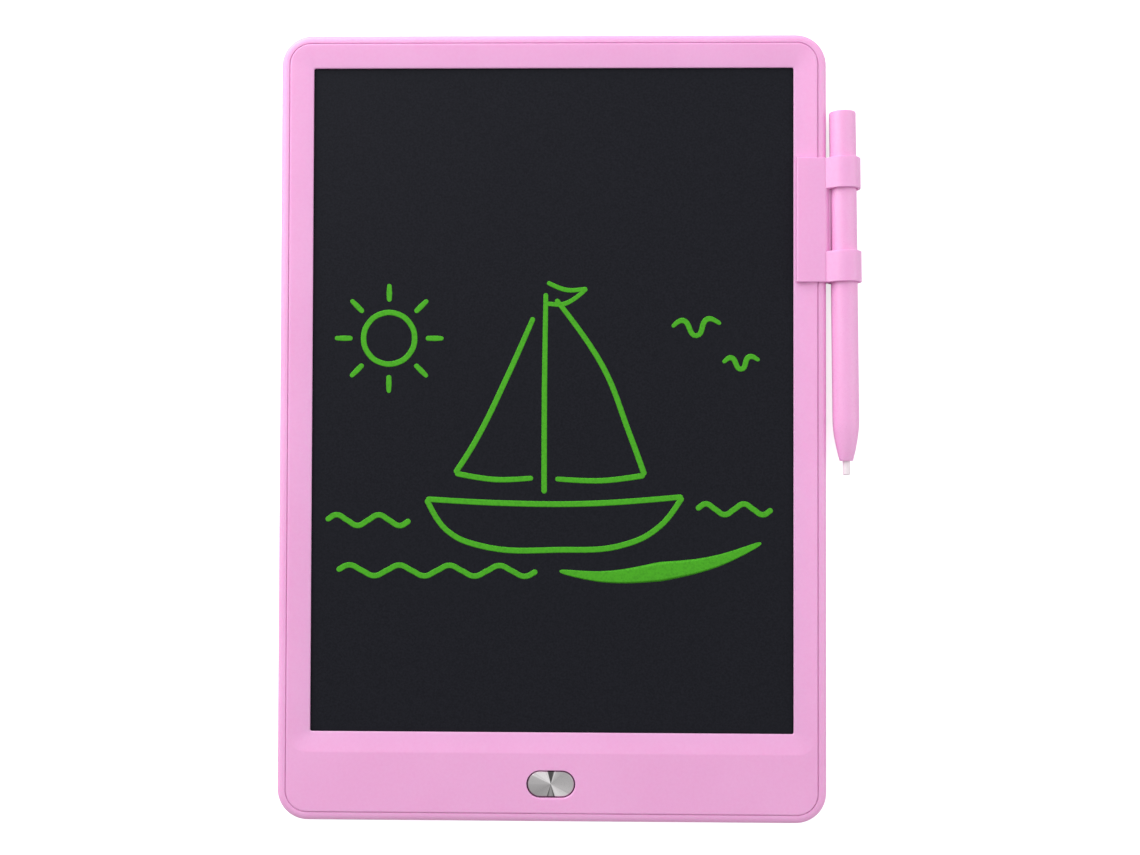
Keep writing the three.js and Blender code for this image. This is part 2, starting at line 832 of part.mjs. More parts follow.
function driverChip() {
  const x = chipFromButton;
  const y = boardBottomY + chipHeightShare * boardHeight;
  const foot = onBoard + chipLeadThickness;
  const belly = roundedRect(chipLength, chipWidth, chipDraft);
  const small = roundedRect(chipLength - 2 * chipDraft, chipWidth - 2 * chipDraft, chipDraft);
  const middle = (foot + onBoard + chipHeight) / 2;
  const body = loft([
    ring(small, foot, x, y, 1),
    ring(belly, middle, x, y, 1),
    ring(small, onBoard + chipHeight, x, y, 1),
  ]);
  const inner = chipWidth / 2 - chipDraft;
  const outer = chipWidth / 2 + chipLeadReach;
  const bend = chipWidth / 2 + chipDraft;
  const leads = [];
  for (let i = 0; i < chipLeadCount; i++)
    for (const way of [-1, 1]) {
      const leadX = x + (i - (chipLeadCount - 1) / 2) * chipLeadPitch;
      const left = leadX - chipLeadWidth / 2;
      const knee = [way * bend + y, middle];
      const ankle = [way * (outer - chipLeadReach / 2) + y, onBoard];
      const line = [[way * inner + y, middle], knee, ankle, [way * outer + y, onBoard]];
      if (way < 0) line.reverse();
      leads.push(alongX(stripSection(line, chipLeadThickness), left, left + chipLeadWidth));
    }
  return join([body, ...leads]);
}

function boostInductor() {
  const x = coilFromButton;
  const y = boardBottomY + coilHeightShare * boardHeight;
  const top = onBoard + coilHeight;
  return join([
    rod(coilRadius, onBoard, onBoard + coilFlange, x, y),
    rod(coilRadius - coilWaist, onBoard, top, x, y),
    rod(coilRadius, top - coilFlange, top, x, y),
  ]);
}

function capacitors() {
  const x = capacitorFromButton;
  const y = boardBottomY + capacitorHeightShare * boardHeight;
  const low = y - capacitorWidth / 2;
  const high = y + capacitorWidth / 2;
  const top = onBoard + capacitorHeight;
  const swell = capacitorSwell;
  const made = [];
  for (let i = 0; i < capacitorCount; i++) {
    const left = x + (i - (capacitorCount - 1) / 2) * capacitorPitch - capacitorLength / 2;
    const right = left + capacitorLength;
    const body = box(left, right, low, high, onBoard, top - swell);
    const ends = [left, right - capacitorEnd].map((start) =>
      box(start, start + capacitorEnd, low - swell, high + swell, onBoard, top),
    );
    made.push(join([body, ...ends]));
  }
  return made;
}

// Lock slider, drawn at the end of its travel nearest the button
const lockRestX = lockX - lockTravel / 2;

function lockKnob() {
  const pad = stadium(lockPadLength, lockPadWidth);
  const stem = stadium(lockStemLength, lockStemWidth);
  const flange = stadium(
    lockStemLength + lockTravel + 2 * lockFlangeWidth,
    lockStemWidth + 2 * lockFlangeWidth,
  );
  const padTop = lockDishDepth - 2 * layGap;
  const flangeLow = floorThickness + layGap;
  const flangeHigh = flangeLow + lockFlangeThickness;
  const half = leverSize / 2 + layGap;
  const low = flangeHigh - leverInKnob - layGap;
  const socket = box(
    lockRestX - half,
    lockRestX + half,
    lockY - half,
    lockY + half,
    low,
    flangeHigh + cutOverrun,
  );
  const grips = [];
  for (let i = 0; i < lockGripCount; i++) {
    const x = lockRestX + (i - (lockGripCount - 1) / 2) * 2 * lockGripWidth;
    const left = x - lockGripWidth / 2;
    const reach = lockPadWidth / 2 - lockGripWidth;
    const grip = lockPadLift + lockGripDepth;
    grips.push(box(left, left + lockGripWidth, lockY - reach, lockY + reach, 0, grip));
  }
  const whole = join([
    slab(pad, lockPadLift, padTop, lockRestX, lockY),
    slab(stem, lockPadLift, flangeHigh, lockRestX, lockY),
    slab(flange, flangeLow, flangeHigh, lockRestX, lockY),
  ]);
  return cut(whole, [socket, ...grips]);
}

function switchLever() {
  const half = leverSize / 2;
  const bottom = floorThickness + layGap + lockFlangeThickness - leverInKnob;
  const top = onBoard + leverInSwitch;
  return box(lockRestX - half, lockRestX + half, lockY - half, lockY + half, bottom, top);
}

function switchBody() {
  const x = switchLength / 2;
  const y = switchWidth / 2;
  const shell = box(lockX - x, lockX + x, lockY - y, lockY + y, onBoard, onBoard + switchHeight);
  const roomX = (leverSize + lockTravel) / 2 + runGap;
  const roomY = leverSize / 2 + runGap;
  const roof = onBoard + leverInSwitch + layGap;
  const room = box(
    lockX - roomX,
    lockX + roomX,
    lockY - roomY,
    lockY + roomY,
    onBoard - cutOverrun,
    roof,
  );
  return cut(shell, [room]);
}

// Coin cell, contacts and door
function coinCell() {
  const rim = cellThickness - cellCapHeight;
  const outline = [
    [0, 0],
    [cellRadius - cellEdgeRound, 0],
    [cellRadius, cellEdgeRound],
    [cellRadius, rim],
    [cellCapRadius, rim],
    [cellCapRadius - cellEdgeRound, cellThickness],
    [0, cellThickness],
  ];
  const points = outline.map(([r, z]) => new THREE.Vector2(r, z));
  const geometry = new THREE.LatheGeometry(points, boreSteps).rotateX(Math.PI / 2);
  return geometry.translate(cellX, cellY, cellBottom);
}

function contactNegative() {
  const foot = boardLeft + contactFoot;
  const over = cellTop + 2 * layGap;
  const y = cellY + contactNegativeShare * cellRadius;
  const line = [
    [cellX - contactPastCentre, over],
    [boardLeft - contactStep, over],
    [boardLeft, onBoard],
    [foot, onBoard],
  ];
  const section = stripSection(line, contactThickness);
  return alongY(section, y - contactWidth / 2, y + contactWidth / 2);
}

function contactPositive() {
  const foot = boardLeft + contactFoot;
  const over = cellTop + 2 * layGap;
  const x = positiveContactX() + contactThickness;
  const y = cellY - contactPositiveShare * cellRadius;
  const line = [
    [x, contactLeafBottom],
    [x, over],
    [boardLeft - contactStep, over],
    [boardLeft, onBoard],
    [foot, onBoard],
  ];
  const section = stripSection(line, contactThickness);
  return alongY(section, y - contactWidth / 2, y + contactWidth / 2);
}

function batteryDoor() {
  const x = hingeX + doorLength / 2;
  const plate = slab(
    roundedRect(doorLength, doorWidth, doorCornerRadius),
    0,
    doorThickness,
    x,
    cellY,
  );
  const tabBottom = doorThickness + doorGap;
  const tabTop = tabBottom + doorTabThickness;
  const tabs = doorTabPlaces().flatMap((y) => {
    const low = y - doorTabWidth / 2;
    const high = y + doorTabWidth / 2;
    return [
      box(hingeX, hingeX + doorTabRoot, low, high, doorThickness - layGap, tabTop),
      box(hingeX - doorTabReach, hingeX + doorTabRoot, low, high, tabBottom, tabTop),
    ];
  });
  const headRoom = doorScrewSink + doorScrewHeadHeight + layGap;
  const right = hingeX + doorLength;
  const nail = slab(
    stadium(doorNailLength, 2 * doorNailDepth),
    -cutOverrun,
    doorNailDepth,
    0,
    0,
  );
  return cut(join([plate, ...tabs]), [
    rod(doorScrewRadius + layGap, -cutOverrun, doorThickness + cutOverrun, doorScrewX, cellY),
    rod(doorScrewHeadRadius + runGap / 2, -cutOverrun, headRoom, doorScrewX, cellY),
    nail.rotate([0, 0, 90]).translate([right, cellY, 0]),
  ]);
}

function doorScrew() {
  const head = doorScrewSink + doorScrewHeadHeight;
  return join([
    rod(doorScrewHeadRadius, doorScrewSink, head, doorScrewX, cellY),
    rod(doorScrewRadius, doorScrewSink, doorScrewReach, doorScrewX, cellY),
  ]);
}

// Flat cable
function ribbonCable() {
  const x = cableFromButton;
  const under = crystalBottom - layGap - cableThickness;
  const start = filmBottomY + cableLap;
  const foot = filmBottomY - cableRun;
  const line = [
    [foot - cableFoot, onBoard],
    [foot, onBoard],
    [filmBottomY, under],
    [start, under],
  ];
  return alongX(stripSection(line, cableThickness), x - cableWidth / 2, x + cableWidth / 2);
}

// Stylus: its parts and its loops are made about the Y axis and then set on the leaning axis
function revolve(points) {
  const geometry = new THREE.LatheGeometry(points, boreSteps).translate(0, -holderY, 0);
  geometry.rotateZ(THREE.MathUtils.degToRad(penLean));
  return geometry.translate(penX, holderY, penZ);
}

function setOnPen(made) {
  return made.translate([0, -holderY, 0]).rotate([0, 0, penLean]).translate([penX, holderY, penZ]);
}

function penBarrel() {
  const bore = nibRadius + nibGap;
  const shoulder = noseEndY + penNoseLength;
  const nose = new THREE.QuadraticBezierCurve(
    new THREE.Vector2(penNoseRadius, noseEndY),
    new THREE.Vector2(penRadius, shoulder - penNoseShare * penNoseLength),
    new THREE.Vector2(penRadius, shoulder),
  );
  const roundTop = [];
  for (let i = 0; i <= edgeSteps; i++) {
    const angle = (i / edgeSteps) * (Math.PI / 2);
    const r = penRadius - penTopRound + penTopRound * Math.cos(angle);
    const y = penTopY - penTopDome - penTopRound + penTopRound * Math.sin(angle);
    roundTop.push(new THREE.Vector2(r, y));
  }
  const points = [
    new THREE.Vector2(0, noseEndY + nibStem + runGap),
    new THREE.Vector2(bore, noseEndY + nibStem + runGap),
    new THREE.Vector2(bore, noseEndY),
    ...nose.getPoints(noseSteps),
    ...roundTop,
    new THREE.Vector2(0, penTopY),
  ];
  return revolve(points);
}

function penNib() {
  const tip = noseEndY - nibLength;
  const points = [new THREE.Vector2(0, tip)];
  for (let i = 0; i <= edgeSteps; i++) {
    const angle = (i / edgeSteps) * (Math.PI / 2);
    const r = nibRadius - nibTipRound + nibTipRound * Math.sin(angle);
    points.push(new THREE.Vector2(r, tip + nibTipRound * (1 - Math.cos(angle))));
  }
  points.push(
    new THREE.Vector2(nibRadius, noseEndY + nibStem),
    new THREE.Vector2(0, noseEndY + nibStem),
  );
  return revolve(points);
}

// Stylus clip
function slopeHeight(x) {
  const outer = surroundWidth / 2;
  const share = Math.max(0, (outer - x) / (outer - windowWidth / 2));
  return bodyThickness - surroundDrop * share;
}

// The section that wraps the body's edge: front plate, outer wall and the plate let into the back
function holderSection() {
  const section = new THREE.Shape();
  const plateTop = bodyThickness + holderPlateHeight;
  const plateLeft = halfWidth - holderPlateReach;
  const backLeft = halfWidth - holderBackReach;
  const crease = surroundWidth / 2;
  const inner = edgeRound + holderGap;
  const cornerX = halfWidth - edgeRound;
  const rimZ = rimTop - edgeRound;
  const slopeTop = slopeHeight(plateLeft) + holderGap;
  const startAngle = Math.asin((edgeRound - holderBackThickness) / inner);
  section.moveTo(plateLeft, slopeTop);
  section.lineTo(crease, bodyThickness + holderGap);
  section.lineTo(cornerX, bodyThickness + holderGap);
  section.lineTo(cornerX, rimZ + inner);
  section.absarc(cornerX, rimZ, inner, Math.PI / 2, 0, true);
  section.absarc(cornerX, edgeRound, inner, 0, -startAngle, true);
  section.lineTo(backLeft, holderBackThickness);
  section.lineTo(backLeft, 0);
  const backCorner = holderOutside - holderBackRound;
  section.absarc(backCorner, holderBackRound, holderBackRound, -Math.PI / 2, 0);
  const frontCorner = holderOutside - holderPlateRound;
  section.absarc(frontCorner, plateTop - holderPlateRound, holderPlateRound, 0, Math.PI / 2);
  const edge = holderPlateEdge;
  section.absarc(plateLeft + edge, plateTop - edge, edge, Math.PI / 2, Math.PI);
  return section;
}

// A ring round the pen whose front comes to a corner on the outer side, with its tip cut off
function loopSection() {
  const section = new THREE.Shape();
  const middle = THREE.MathUtils.degToRad(loopCornerAngle);
  const spread = Math.acos(1 / loopCornerShare);
  const side = loopRadius * Math.tan(spread);
  const onSide = (way) => {
    const turn = middle + way * spread;
    const along = -way * (side - loopCornerCut);
    const x = loopRadius * Math.cos(turn) - along * Math.sin(turn);
    return [x, loopRadius * Math.sin(turn) + along * Math.cos(turn)];
  };
  section.moveTo(...onSide(-1));
  section.lineTo(...onSide(1));
  const touch = middle + spread;
  section.lineTo(loopRadius * Math.cos(touch), loopRadius * Math.sin(touch));
  section.absarc(0, 0, loopRadius, touch, 2 * Math.PI + middle - spread);
  section.closePath();
  return section;
}

function stylusHolder() {
  const low = holderTopY - holderLength;
  const wrap = alongY(holderSection(), low, holderTopY);
  const loops = [low, holderTopY - loopLength].map((start) =>
    setOnPen(alongY(loopSection(), start, start + loopLength, loopSteps)),
  );
  const bore = alongY(circle(loopBore), low - cutOverrun, holderTopY + cutOverrun, loopSteps);
  const body = outerEdgeRoom();
  const looped = cut(join(loops), [setOnPen(bore), body]);
  return join([wrap, loopWeb(low), looped]);
}

// The thin web under the pen, which joins the two loops
function loopWeb(low) {
  const left = holderOutside - holderBackRound;
  const start = low + loopLength / 2;
  return box(left, holderOutside + webReach, start, holderTopY - loopLength / 2, 0, webThickness);
}

// The body's own space beside the loops, which they stay out of
function outerEdgeRoom() {
  const reach = holderTopY + cutOverrun;
  const low = holderTopY - holderLength - cutOverrun;
  const right = holderOutside - holderWall / 2;
  return box(halfWidth - rimWidth, right, low, reach, -cutOverrun, bodyThickness + cutOverrun);
}

// Assembly
const tablet = new THREE.Group();
tablet.add(
  piece("rear_shell", rearShell(), pinkPlastic),
  piece("front_bezel", frontBezel(), pinkPlastic),
  piece("bezel_tape", bezelTape(), blackTape),
  piece("writing_film", filmSheet(filmBottom, filmThickness), clearFilm),
  piece("liquid_crystal_sheet", filmSheet(crystalBottom, crystalThickness), darkCrystal),
  piece("backing_board", backingBoard(), greyPlastic),
  piece("circuit_board", circuitBoard(), boardGreen),
  ...pieces("board_screw", boardScrews(), brightSteel),
  piece("tact_switch_housing", tactHousing(), blackPlastic),
  piece("slide_switch_body", switchBody(), brightSteel),
  piece("driver_chip", driverChip(), blackPlastic),
  piece("boost_inductor", boostInductor(), copperCoil),
  ...pieces("ceramic_capacitor", capacitors(), ceramic),
  piece("ribbon_cable", ribbonCable(), amberCable),
  piece("coin_cell", coinCell(), brightSteel),
  piece("battery_contact_negative", contactNegative(), brightSteel),
  piece("battery_contact_positive", contactPositive(), brightSteel),
  piece("stylus_holder", stylusHolder(), pinkPlastic),
);

const button = new THREE.Group();
button.add(
  piece("button_face", buttonFace(), brushedSteel),
  piece("button_carrier", buttonCarrier(), blackPlastic),
  piece("tact_plunger", tactPlunger(), whitePlastic),
);

const lock = new THREE.Group();
lock.add(
  piece("lock_knob", lockKnob(), blackPlastic),
  piece("slide_switch_lever", switchLever(), blackPlastic),
);

const door = new THREE.Group();
door.add(
  piece("battery_door", batteryDoor(), pinkPlastic),
  piece("battery_door_screw", doorScrew(), brightSteel),
);

const stylus = new THREE.Group();
stylus.add(
  piece("stylus_barrel", penBarrel(), pinkPlastic),
  piece("stylus_nib", penNib(), whitePlastic),
);

const writingTablet = new THREE.Group();
writingTablet.add(tablet, button, lock, door, stylus);

export default writingTablet;
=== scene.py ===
"""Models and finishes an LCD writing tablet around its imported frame, and sets it on a pale floor."""

import json
import math

import bmesh
import bpy
from bpy.props import FloatProperty, FloatVectorProperty, IntProperty, PointerProperty
from bpy.types import Operator, Panel, PropertyGroup
from mathutils import Euler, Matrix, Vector


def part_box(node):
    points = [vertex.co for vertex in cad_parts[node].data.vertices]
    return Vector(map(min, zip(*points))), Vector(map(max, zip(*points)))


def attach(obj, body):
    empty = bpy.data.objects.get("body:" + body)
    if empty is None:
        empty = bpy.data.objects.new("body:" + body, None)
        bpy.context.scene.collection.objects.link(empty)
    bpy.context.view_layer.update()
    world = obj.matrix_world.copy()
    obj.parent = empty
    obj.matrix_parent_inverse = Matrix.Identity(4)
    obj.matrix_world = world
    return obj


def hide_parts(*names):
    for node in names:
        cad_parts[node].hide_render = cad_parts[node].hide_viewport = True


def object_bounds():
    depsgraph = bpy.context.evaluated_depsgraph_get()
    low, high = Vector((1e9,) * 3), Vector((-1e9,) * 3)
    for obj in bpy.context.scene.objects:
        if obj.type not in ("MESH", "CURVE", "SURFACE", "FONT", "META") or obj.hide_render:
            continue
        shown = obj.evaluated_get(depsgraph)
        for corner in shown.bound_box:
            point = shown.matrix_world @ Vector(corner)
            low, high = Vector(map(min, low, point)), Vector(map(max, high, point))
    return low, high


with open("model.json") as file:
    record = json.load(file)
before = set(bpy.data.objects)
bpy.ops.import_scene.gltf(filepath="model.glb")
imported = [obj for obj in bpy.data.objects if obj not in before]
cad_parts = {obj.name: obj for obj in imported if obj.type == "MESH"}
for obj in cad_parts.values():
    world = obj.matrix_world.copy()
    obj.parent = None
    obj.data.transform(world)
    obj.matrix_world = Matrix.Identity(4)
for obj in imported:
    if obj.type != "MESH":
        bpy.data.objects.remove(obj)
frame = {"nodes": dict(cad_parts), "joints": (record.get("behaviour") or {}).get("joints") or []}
cad_low, cad_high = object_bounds()

bl_info = {
    "name": "LCD Writing Tablet",
    "version": (1, 0, 0),
    "blender": (4, 5, 0),
    "location": "3D View > Sidebar > Tablet",
    "description": "Models the shells, screen, erase button, clip and stylus of a writing tablet",
    "category": "Object",
}

MM = 0.001
WELD = 1e-6
# Least height between two outlines, because bridging two level ones can turn one of them round
NUDGE = 0.012 * MM
# How far a cutter passes the face that it opens
OVERRUN = 1 * MM
# How deep one part of a piece runs into another before the two are joined
LAP = 0.05 * MM
# Faces round the corners of the small openings and pieces
SMALL_STEPS = 12
# Faces round the small edges
EDGE_STEPS = 4
# How far inside its corner the middle of a round edge lies, as a share of its radius
EDGE_MIDDLE = 0.3
# Sizes of the clouds of colour and of the speckle in moulded plastic
CLOUDS = 30 * MM
SPECKLE = 0.9 * MM
BOARD_SCREWS = ("board_screw_1", "board_screw_2", "board_screw_3")


# Property helpers
def length(name, description, millimetres):
    return FloatProperty(
        name=name, description=description, default=millimetres * MM, unit="LENGTH", subtype="DISTANCE"
    )


def colour(name, description, red, green, blue):
    return FloatVectorProperty(
        name=name, description=description, default=(red, green, blue), min=0, max=1, size=3,
        subtype="COLOR",
    )


def angle(name, description, degrees):
    return FloatProperty(
        name=name, description=description, default=math.radians(degrees), unit="ROTATION", subtype="ANGLE"
    )


def place(name, description, metres):
    return FloatVectorProperty(
        name=name, description=description, default=metres, size=3, subtype="TRANSLATION", unit="LENGTH"
    )


def factor(name, description, value, low=0.0, high=1.0):
    return FloatProperty(name=name, description=description, default=value, min=low, max=high)


def power(name, description, watts):
    return FloatProperty(name=name, description=description, default=watts, unit="POWER")


def count(name, description, value):
    return IntProperty(name=name, description=description, default=value, min=1)


class ShellSizes(PropertyGroup):
    corner: length("Corner radius", "Radius of the body's four corners", 9.4)
    edge: length("Edge rounding", "Radius of the rounded edge at the front and the back", 2)
    rim: length("Rim width", "From the outside to the seam", 2.65)
    rim_round: length("Rim rounding", "Radius of the rim's inner edge at the seam", 0.16)
    floor: length("Floor thickness", "Thickness of the back", 1.5)
    corner_steps: count("Corner steps", "Faces round each corner", 16)
    edge_steps: count("Edge steps", "Faces round each long edge", 7)
    rim_steps: count("Rim steps", "Faces round the rim's inner edge", 3)
    rib: length("Rib thickness", "Thickness of the ribs inside the back", 1.2)
    rib_pitch: length("Rib pitch", "Distance between two ribs", 32)
    rib_step: length("Rib step", "How much lower the ribs along the body are", 0.2)
    boss: length("Boss radius", "Radius of the bosses under the circuit board", 2.1)
    boss_hole: length("Boss hole", "Radius of the hole in each boss", 0.85)
    board_gap: length("Board gap", "Room between the bosses and the circuit board", 0.05)


class BezelSizes(PropertyGroup):
    seam: length("Seam gap", "Gap between the rim and the bezel", 0.35)
    seam_depth: length("Seam depth", "From the bezel's front to the floor of the seam", 0.45)
    seam_lap: length("Seam lap", "How far the bezel reaches under the seam", 0.3)
    edge: length("Edge rounding", "Radius of the bezel's outer edge", 0.18)
    side: length("Side border", "From the body's side to the screen", 10.1)
    top: length("Top border", "From the body's top to the screen", 10.3)
    bottom: length("Bottom border", "From the body's bottom to the screen", 27.3)
    window_corner: length("Window corner", "Radius of the screen window's corners", 0.6)
    window_round: length("Window rounding", "Radius of the window's edge", 0.3)
    window_start: angle("Window edge start", "Where the window's edge leaves the border, from its side", 86)
    window_rise: factor("Window edge rise", "How far the edge stands above the border, of its radius", 0.03)
    drop: length("Border drop", "How far the border falls towards the screen", 1)
    crease_inset: length("Crease inset", "From the bezel's outer edge to the crease", 0.5)
    crease_corner: length("Crease corner", "Radius of the crease's corners", 5.5)
    crease_below: length("Crease below window", "From the window to the crease in the chin", 6.3)
    crease_soft: length("Crease softness", "Width over which the crease turns", 0.5)
    crease_lead: factor("Crease lead", "How much of that width lies outside the crease", 0.2)
    thickness: length("Bezel thickness", "Thickness of the bezel's plate", 1.5)
    skirt: length("Skirt thickness", "Thickness of the wall inside the shell", 1.2)
    corner_steps: count("Corner steps", "Faces round each corner", 16)
    edge_steps: count("Edge steps", "Faces round each long edge", 4)


class ButtonSizes(PropertyGroup):
    gap: length("Button gap", "Gap round the button in its slot", 0.3)
    flare: length("Slot rounding", "Radius of the slot's upper edge", 0.3)
    edge: length("Button edge", "Width of the turned edge round the button's face", 0.28)
    corner_steps: count("Corner steps", "Faces round each quarter of the button", 20)
    flare_steps: count("Slot steps", "Faces round the slot's upper edge", 5)


class DoorSizes(PropertyGroup):
    thickness: length("Door thickness", "Thickness of the battery door", 1)
    corner: length("Door corner", "Radius of the door's corners", 3)
    gap: length("Door gap", "Gap round the door", 0.25)
    lay_gap: length("Lay gap", "Gap between the door and the floor of its recess", 0.1)
    run_gap: length("Running gap", "Room round the tabs and round the positive contact", 0.3)
    edge: length("Door edge", "Radius of the door's outer edge", 0.2)
    tab_width: length("Tab width", "Width of each tab", 4)
    tab_root: length("Tab root", "How far each tab's root stands inside the door", 1)
    tab_spread: length("Tab spread", "Distance between the two tabs", 14)
    tab_lift: length("Tab lift", "From the door to the tab's free end", 0.25)
    tab_step: length("Tab step", "How much lower the tabs' free ends are than their roots", 0.02)
    tab_room: length("Tab room", "Room that the tabs sweep as the door swings", 2.3)
    nail: length("Nail notch length", "Length of the notch for a finger nail", 5)
    nail_depth: length("Nail notch depth", "Depth of the notch for a finger nail", 0.5)
    screw_room: length("Screw room", "Room round the screw's head", 0.15)
    head_depth: length("Head depth", "Depth of the sink for the screw's head", 0.65)
    shank_hole: length("Shank hole", "Radius of the screw's hole in the door", 0.9)
    screw_hole: length("Screw hole", "Radius of the screw's hole in the battery bay", 1.15)
    wall: length("Bay wall", "Wall round the battery bay", 0.9)
    tab_wall: length("Bay tab wall", "Wall of the bay beyond the tabs", 1.4)
    bay_height: length("Bay height", "Top of the battery bay's walls", 3.4)
    bore_gap: length("Bore gap", "Gap round the cell in its bore", 0.25)
    bore_steps: count("Bore steps", "Faces round the cell's bore", 96)
    leaf_room: length("Leaf room", "Room for the positive contact outside the bore", 1.2)
    nail_steps: count("Nail notch steps", "Faces round each quarter of the nail notch", 10)



class LockSizes(PropertyGroup):
    pad_length: length("Knob length", "Length of the lock's knob", 6.6)
    pad_width: length("Knob width", "Width of the lock's knob", 4.4)
    pad_round: length("Knob rounding", "Radius of the knob's edge", 0.2)
    pad_thickness: length("Knob thickness", "Thickness of the knob's pad", 0.6)
    travel: length("Knob travel", "How far the knob slides", 2.4)
    dish_wall: length("Dish wall", "Room round the knob in its dish", 1.1)
    dish_depth: length("Dish depth", "Depth of the dish", 0.85)
    dish_round: length("Dish rounding", "Radius of the dish's edge", 0.25)
    stem_length: length("Stem length", "Length of the knob's stem", 3.4)
    stem_width: length("Stem width", "Width of the knob's stem", 2.2)
    grip: length("Grip width", "Width of each groove in the knob", 0.5)
    grip_depth: length("Grip depth", "Depth of each groove in the knob", 0.25)
    grips: count("Grips", "Grooves in the knob", 3)
    grip_steps: count("Grip steps", "Faces round each quarter of a groove", 8)
    flange: length("Flange thickness", "Thickness of the knob's flange behind the floor", 0.6)
    gap: length("Gap", "Room round the knob's stem", 0.3)
    lever_gap: length("Lever gap", "Room round the switch's lever in the knob", 0.05)


class ClipSizes(PropertyGroup):
    length: length("Clip length", "Length of the clip along the body's edge", 38.3)
    wall: length("Clip wall", "Wall beside the body's edge", 0.5)
    plate: length("Plate height", "How far the front plate stands above the bezel", 1)
    plate_reach: length("Plate reach", "From the body's side to the front plate's free edge", 9.4)
    plate_edge: length("Plate edge", "Rounding of the front plate's free edge", 0.4)
    front_round: length("Front rounding", "Radius where the front plate meets the wall", 2)
    back_round: length("Back rounding", "Radius where the rear plate meets the wall", 2)
    back: length("Rear plate thickness", "Thickness of the plate let into the back", 0.9)
    gap: length("Clip gap", "Gap between the clip and the body", 0.1)
    loop: length("Loop length", "Length of each loop along the stylus", 9.5)
    loop_wall: length("Loop wall", "Thickness of the loops", 1)
    corner_angle: angle("Loop corner angle", "Where the loop's front comes to a corner", 61)
    corner_share: factor("Loop corner share", "How far the corner lies out, of the radius", 1.1, 1, 2)
    corner_cut: length("Loop corner cut", "How far along each side the corner is cut off", 0.65)
    shoulder_angle: angle("Loop shoulder angle", "Where the loop leaves its round towards the plate", 125)
    shoulder: length("Loop shoulder", "How far the loop's shoulder runs into the plate", 1.3)
    cradle_angle: angle("Cradle angle", "How far up round the stylus the web rises", 105)
    web_reach: length("Web reach", "How far the web runs out from the wall", 2.2)
    soft: length("Clip softness", "Radius of the clip's small edges", 0.22)
    steps: count("Loop steps", "Faces round each loop", 96)
    inner_steps: count("Inner steps", "Faces along the body's edge", 8)
    front_steps: count("Front steps", "Faces round the front rounding", 14)
    back_steps: count("Back steps", "Faces round the back rounding", 10)
    plate_steps: count("Plate steps", "Faces round the front plate's free edge", 5)
    cradle_steps: count("Cradle steps", "Faces along the cradle", 8)


class StylusSizes(PropertyGroup):
    top_round: length("Top rounding", "Radius of the stylus' upper edge", 0.5)
    top_turn: angle("Top turn", "How far the upper edge turns before the dome", 84)
    top_dome: length("Top dome", "How far the upper end swells", 0.25)
    top_steps: count("Top steps", "Rings round the upper edge", 9)
    nose: length("Nose length", "Length of the stylus' nose", 13.1)
    nose_radius: length("Nose radius", "Radius of the nose where the nib comes out", 2.1)
    nose_share: factor("Nose share", "Where the nose's curve turns most, of its length", 0.42)
    nose_round: length("Nose rounding", "Radius of the nose's lower edge", 0.2)
    nib_gap: length("Nib gap", "Gap round the nib", 0.1)
    nib_tip: length("Nib rounding", "Radius of the nib's end", 0.55)
    nib_turn: angle("Nib turn", "How far the nib's rounding turns", 80)
    nib_flat: factor("Nib flat", "Radius of the nib's flat end, of what its rounding leaves", 0.5)
    nib_rings: count("Nib rings", "Rings round the nib's end", 8)
    steps: count("Stylus steps", "Faces round the stylus", 96)
    nose_steps: count("Nose steps", "Rings along the nose", 20)
    nib_steps: count("Nib steps", "Faces round the nib", 48)


class DrawingSizes(PropertyGroup):
    line: length("Line width", "Width of a line drawn with light pressure", 1.75)
    heavy: length("Heavy line width", "Greatest width of the line drawn with a firm hand", 6)
    lift: length("Line thickness", "How far a line stands above the film", 0.012)
    width: length("Drawing width", "Width of the drawing on the screen", 138)
    height: length("Drawing height", "Height of the drawing on the screen", 94)
    left: length("Drawing left", "How far the drawing lies left of the screen's middle", 1)
    down: length("Drawing down", "How far the drawing lies below the screen's middle", 9.5)
    wave: factor("Wave height", "Height of the waves, of the drawing's half height", 0.035)
    round_steps: count("Line roundness", "Faces round a quarter of each line, less one", 2)
    steps: count("Line steps", "Faces along a line from point to point", 8)


class Colours(PropertyGroup):
    pink: colour("Pink plastic", "Colour of the shells, the clip and the stylus", 0.9, 0.434, 0.738)
    pink_deep: colour("Deeper pink", "The darker clouds of the pink plastic", 0.885, 0.415, 0.718)
    depth: length("Light depth", "How deep light reaches into the pink plastic", 1.5)
    depth_share: factor("Depth share", "How much of the light reaches into the pink plastic", 0.35)
    depth_colour: colour("Depth colour", "How far each colour of light reaches into it", 1, 0.6, 0.85)
    film: colour("Film", "Colour of the dark writing film", 0.0085, 0.009, 0.0125)
    film_grain: colour("Film grain", "Colour of the film's fine grain", 0.0135, 0.014, 0.019)
    line: colour("Line", "Colour of what is written on the screen", 0.076, 0.41, 0.022)
    line_dim: colour("Weaker line", "Colour of a line where the pressure was low", 0.06, 0.32, 0.02)
    nib: colour("Nib", "Colour of the nib", 0.9, 0.8, 0.85)
    floor: colour("Floor", "Colour of the floor", 0.82, 0.82, 0.82)


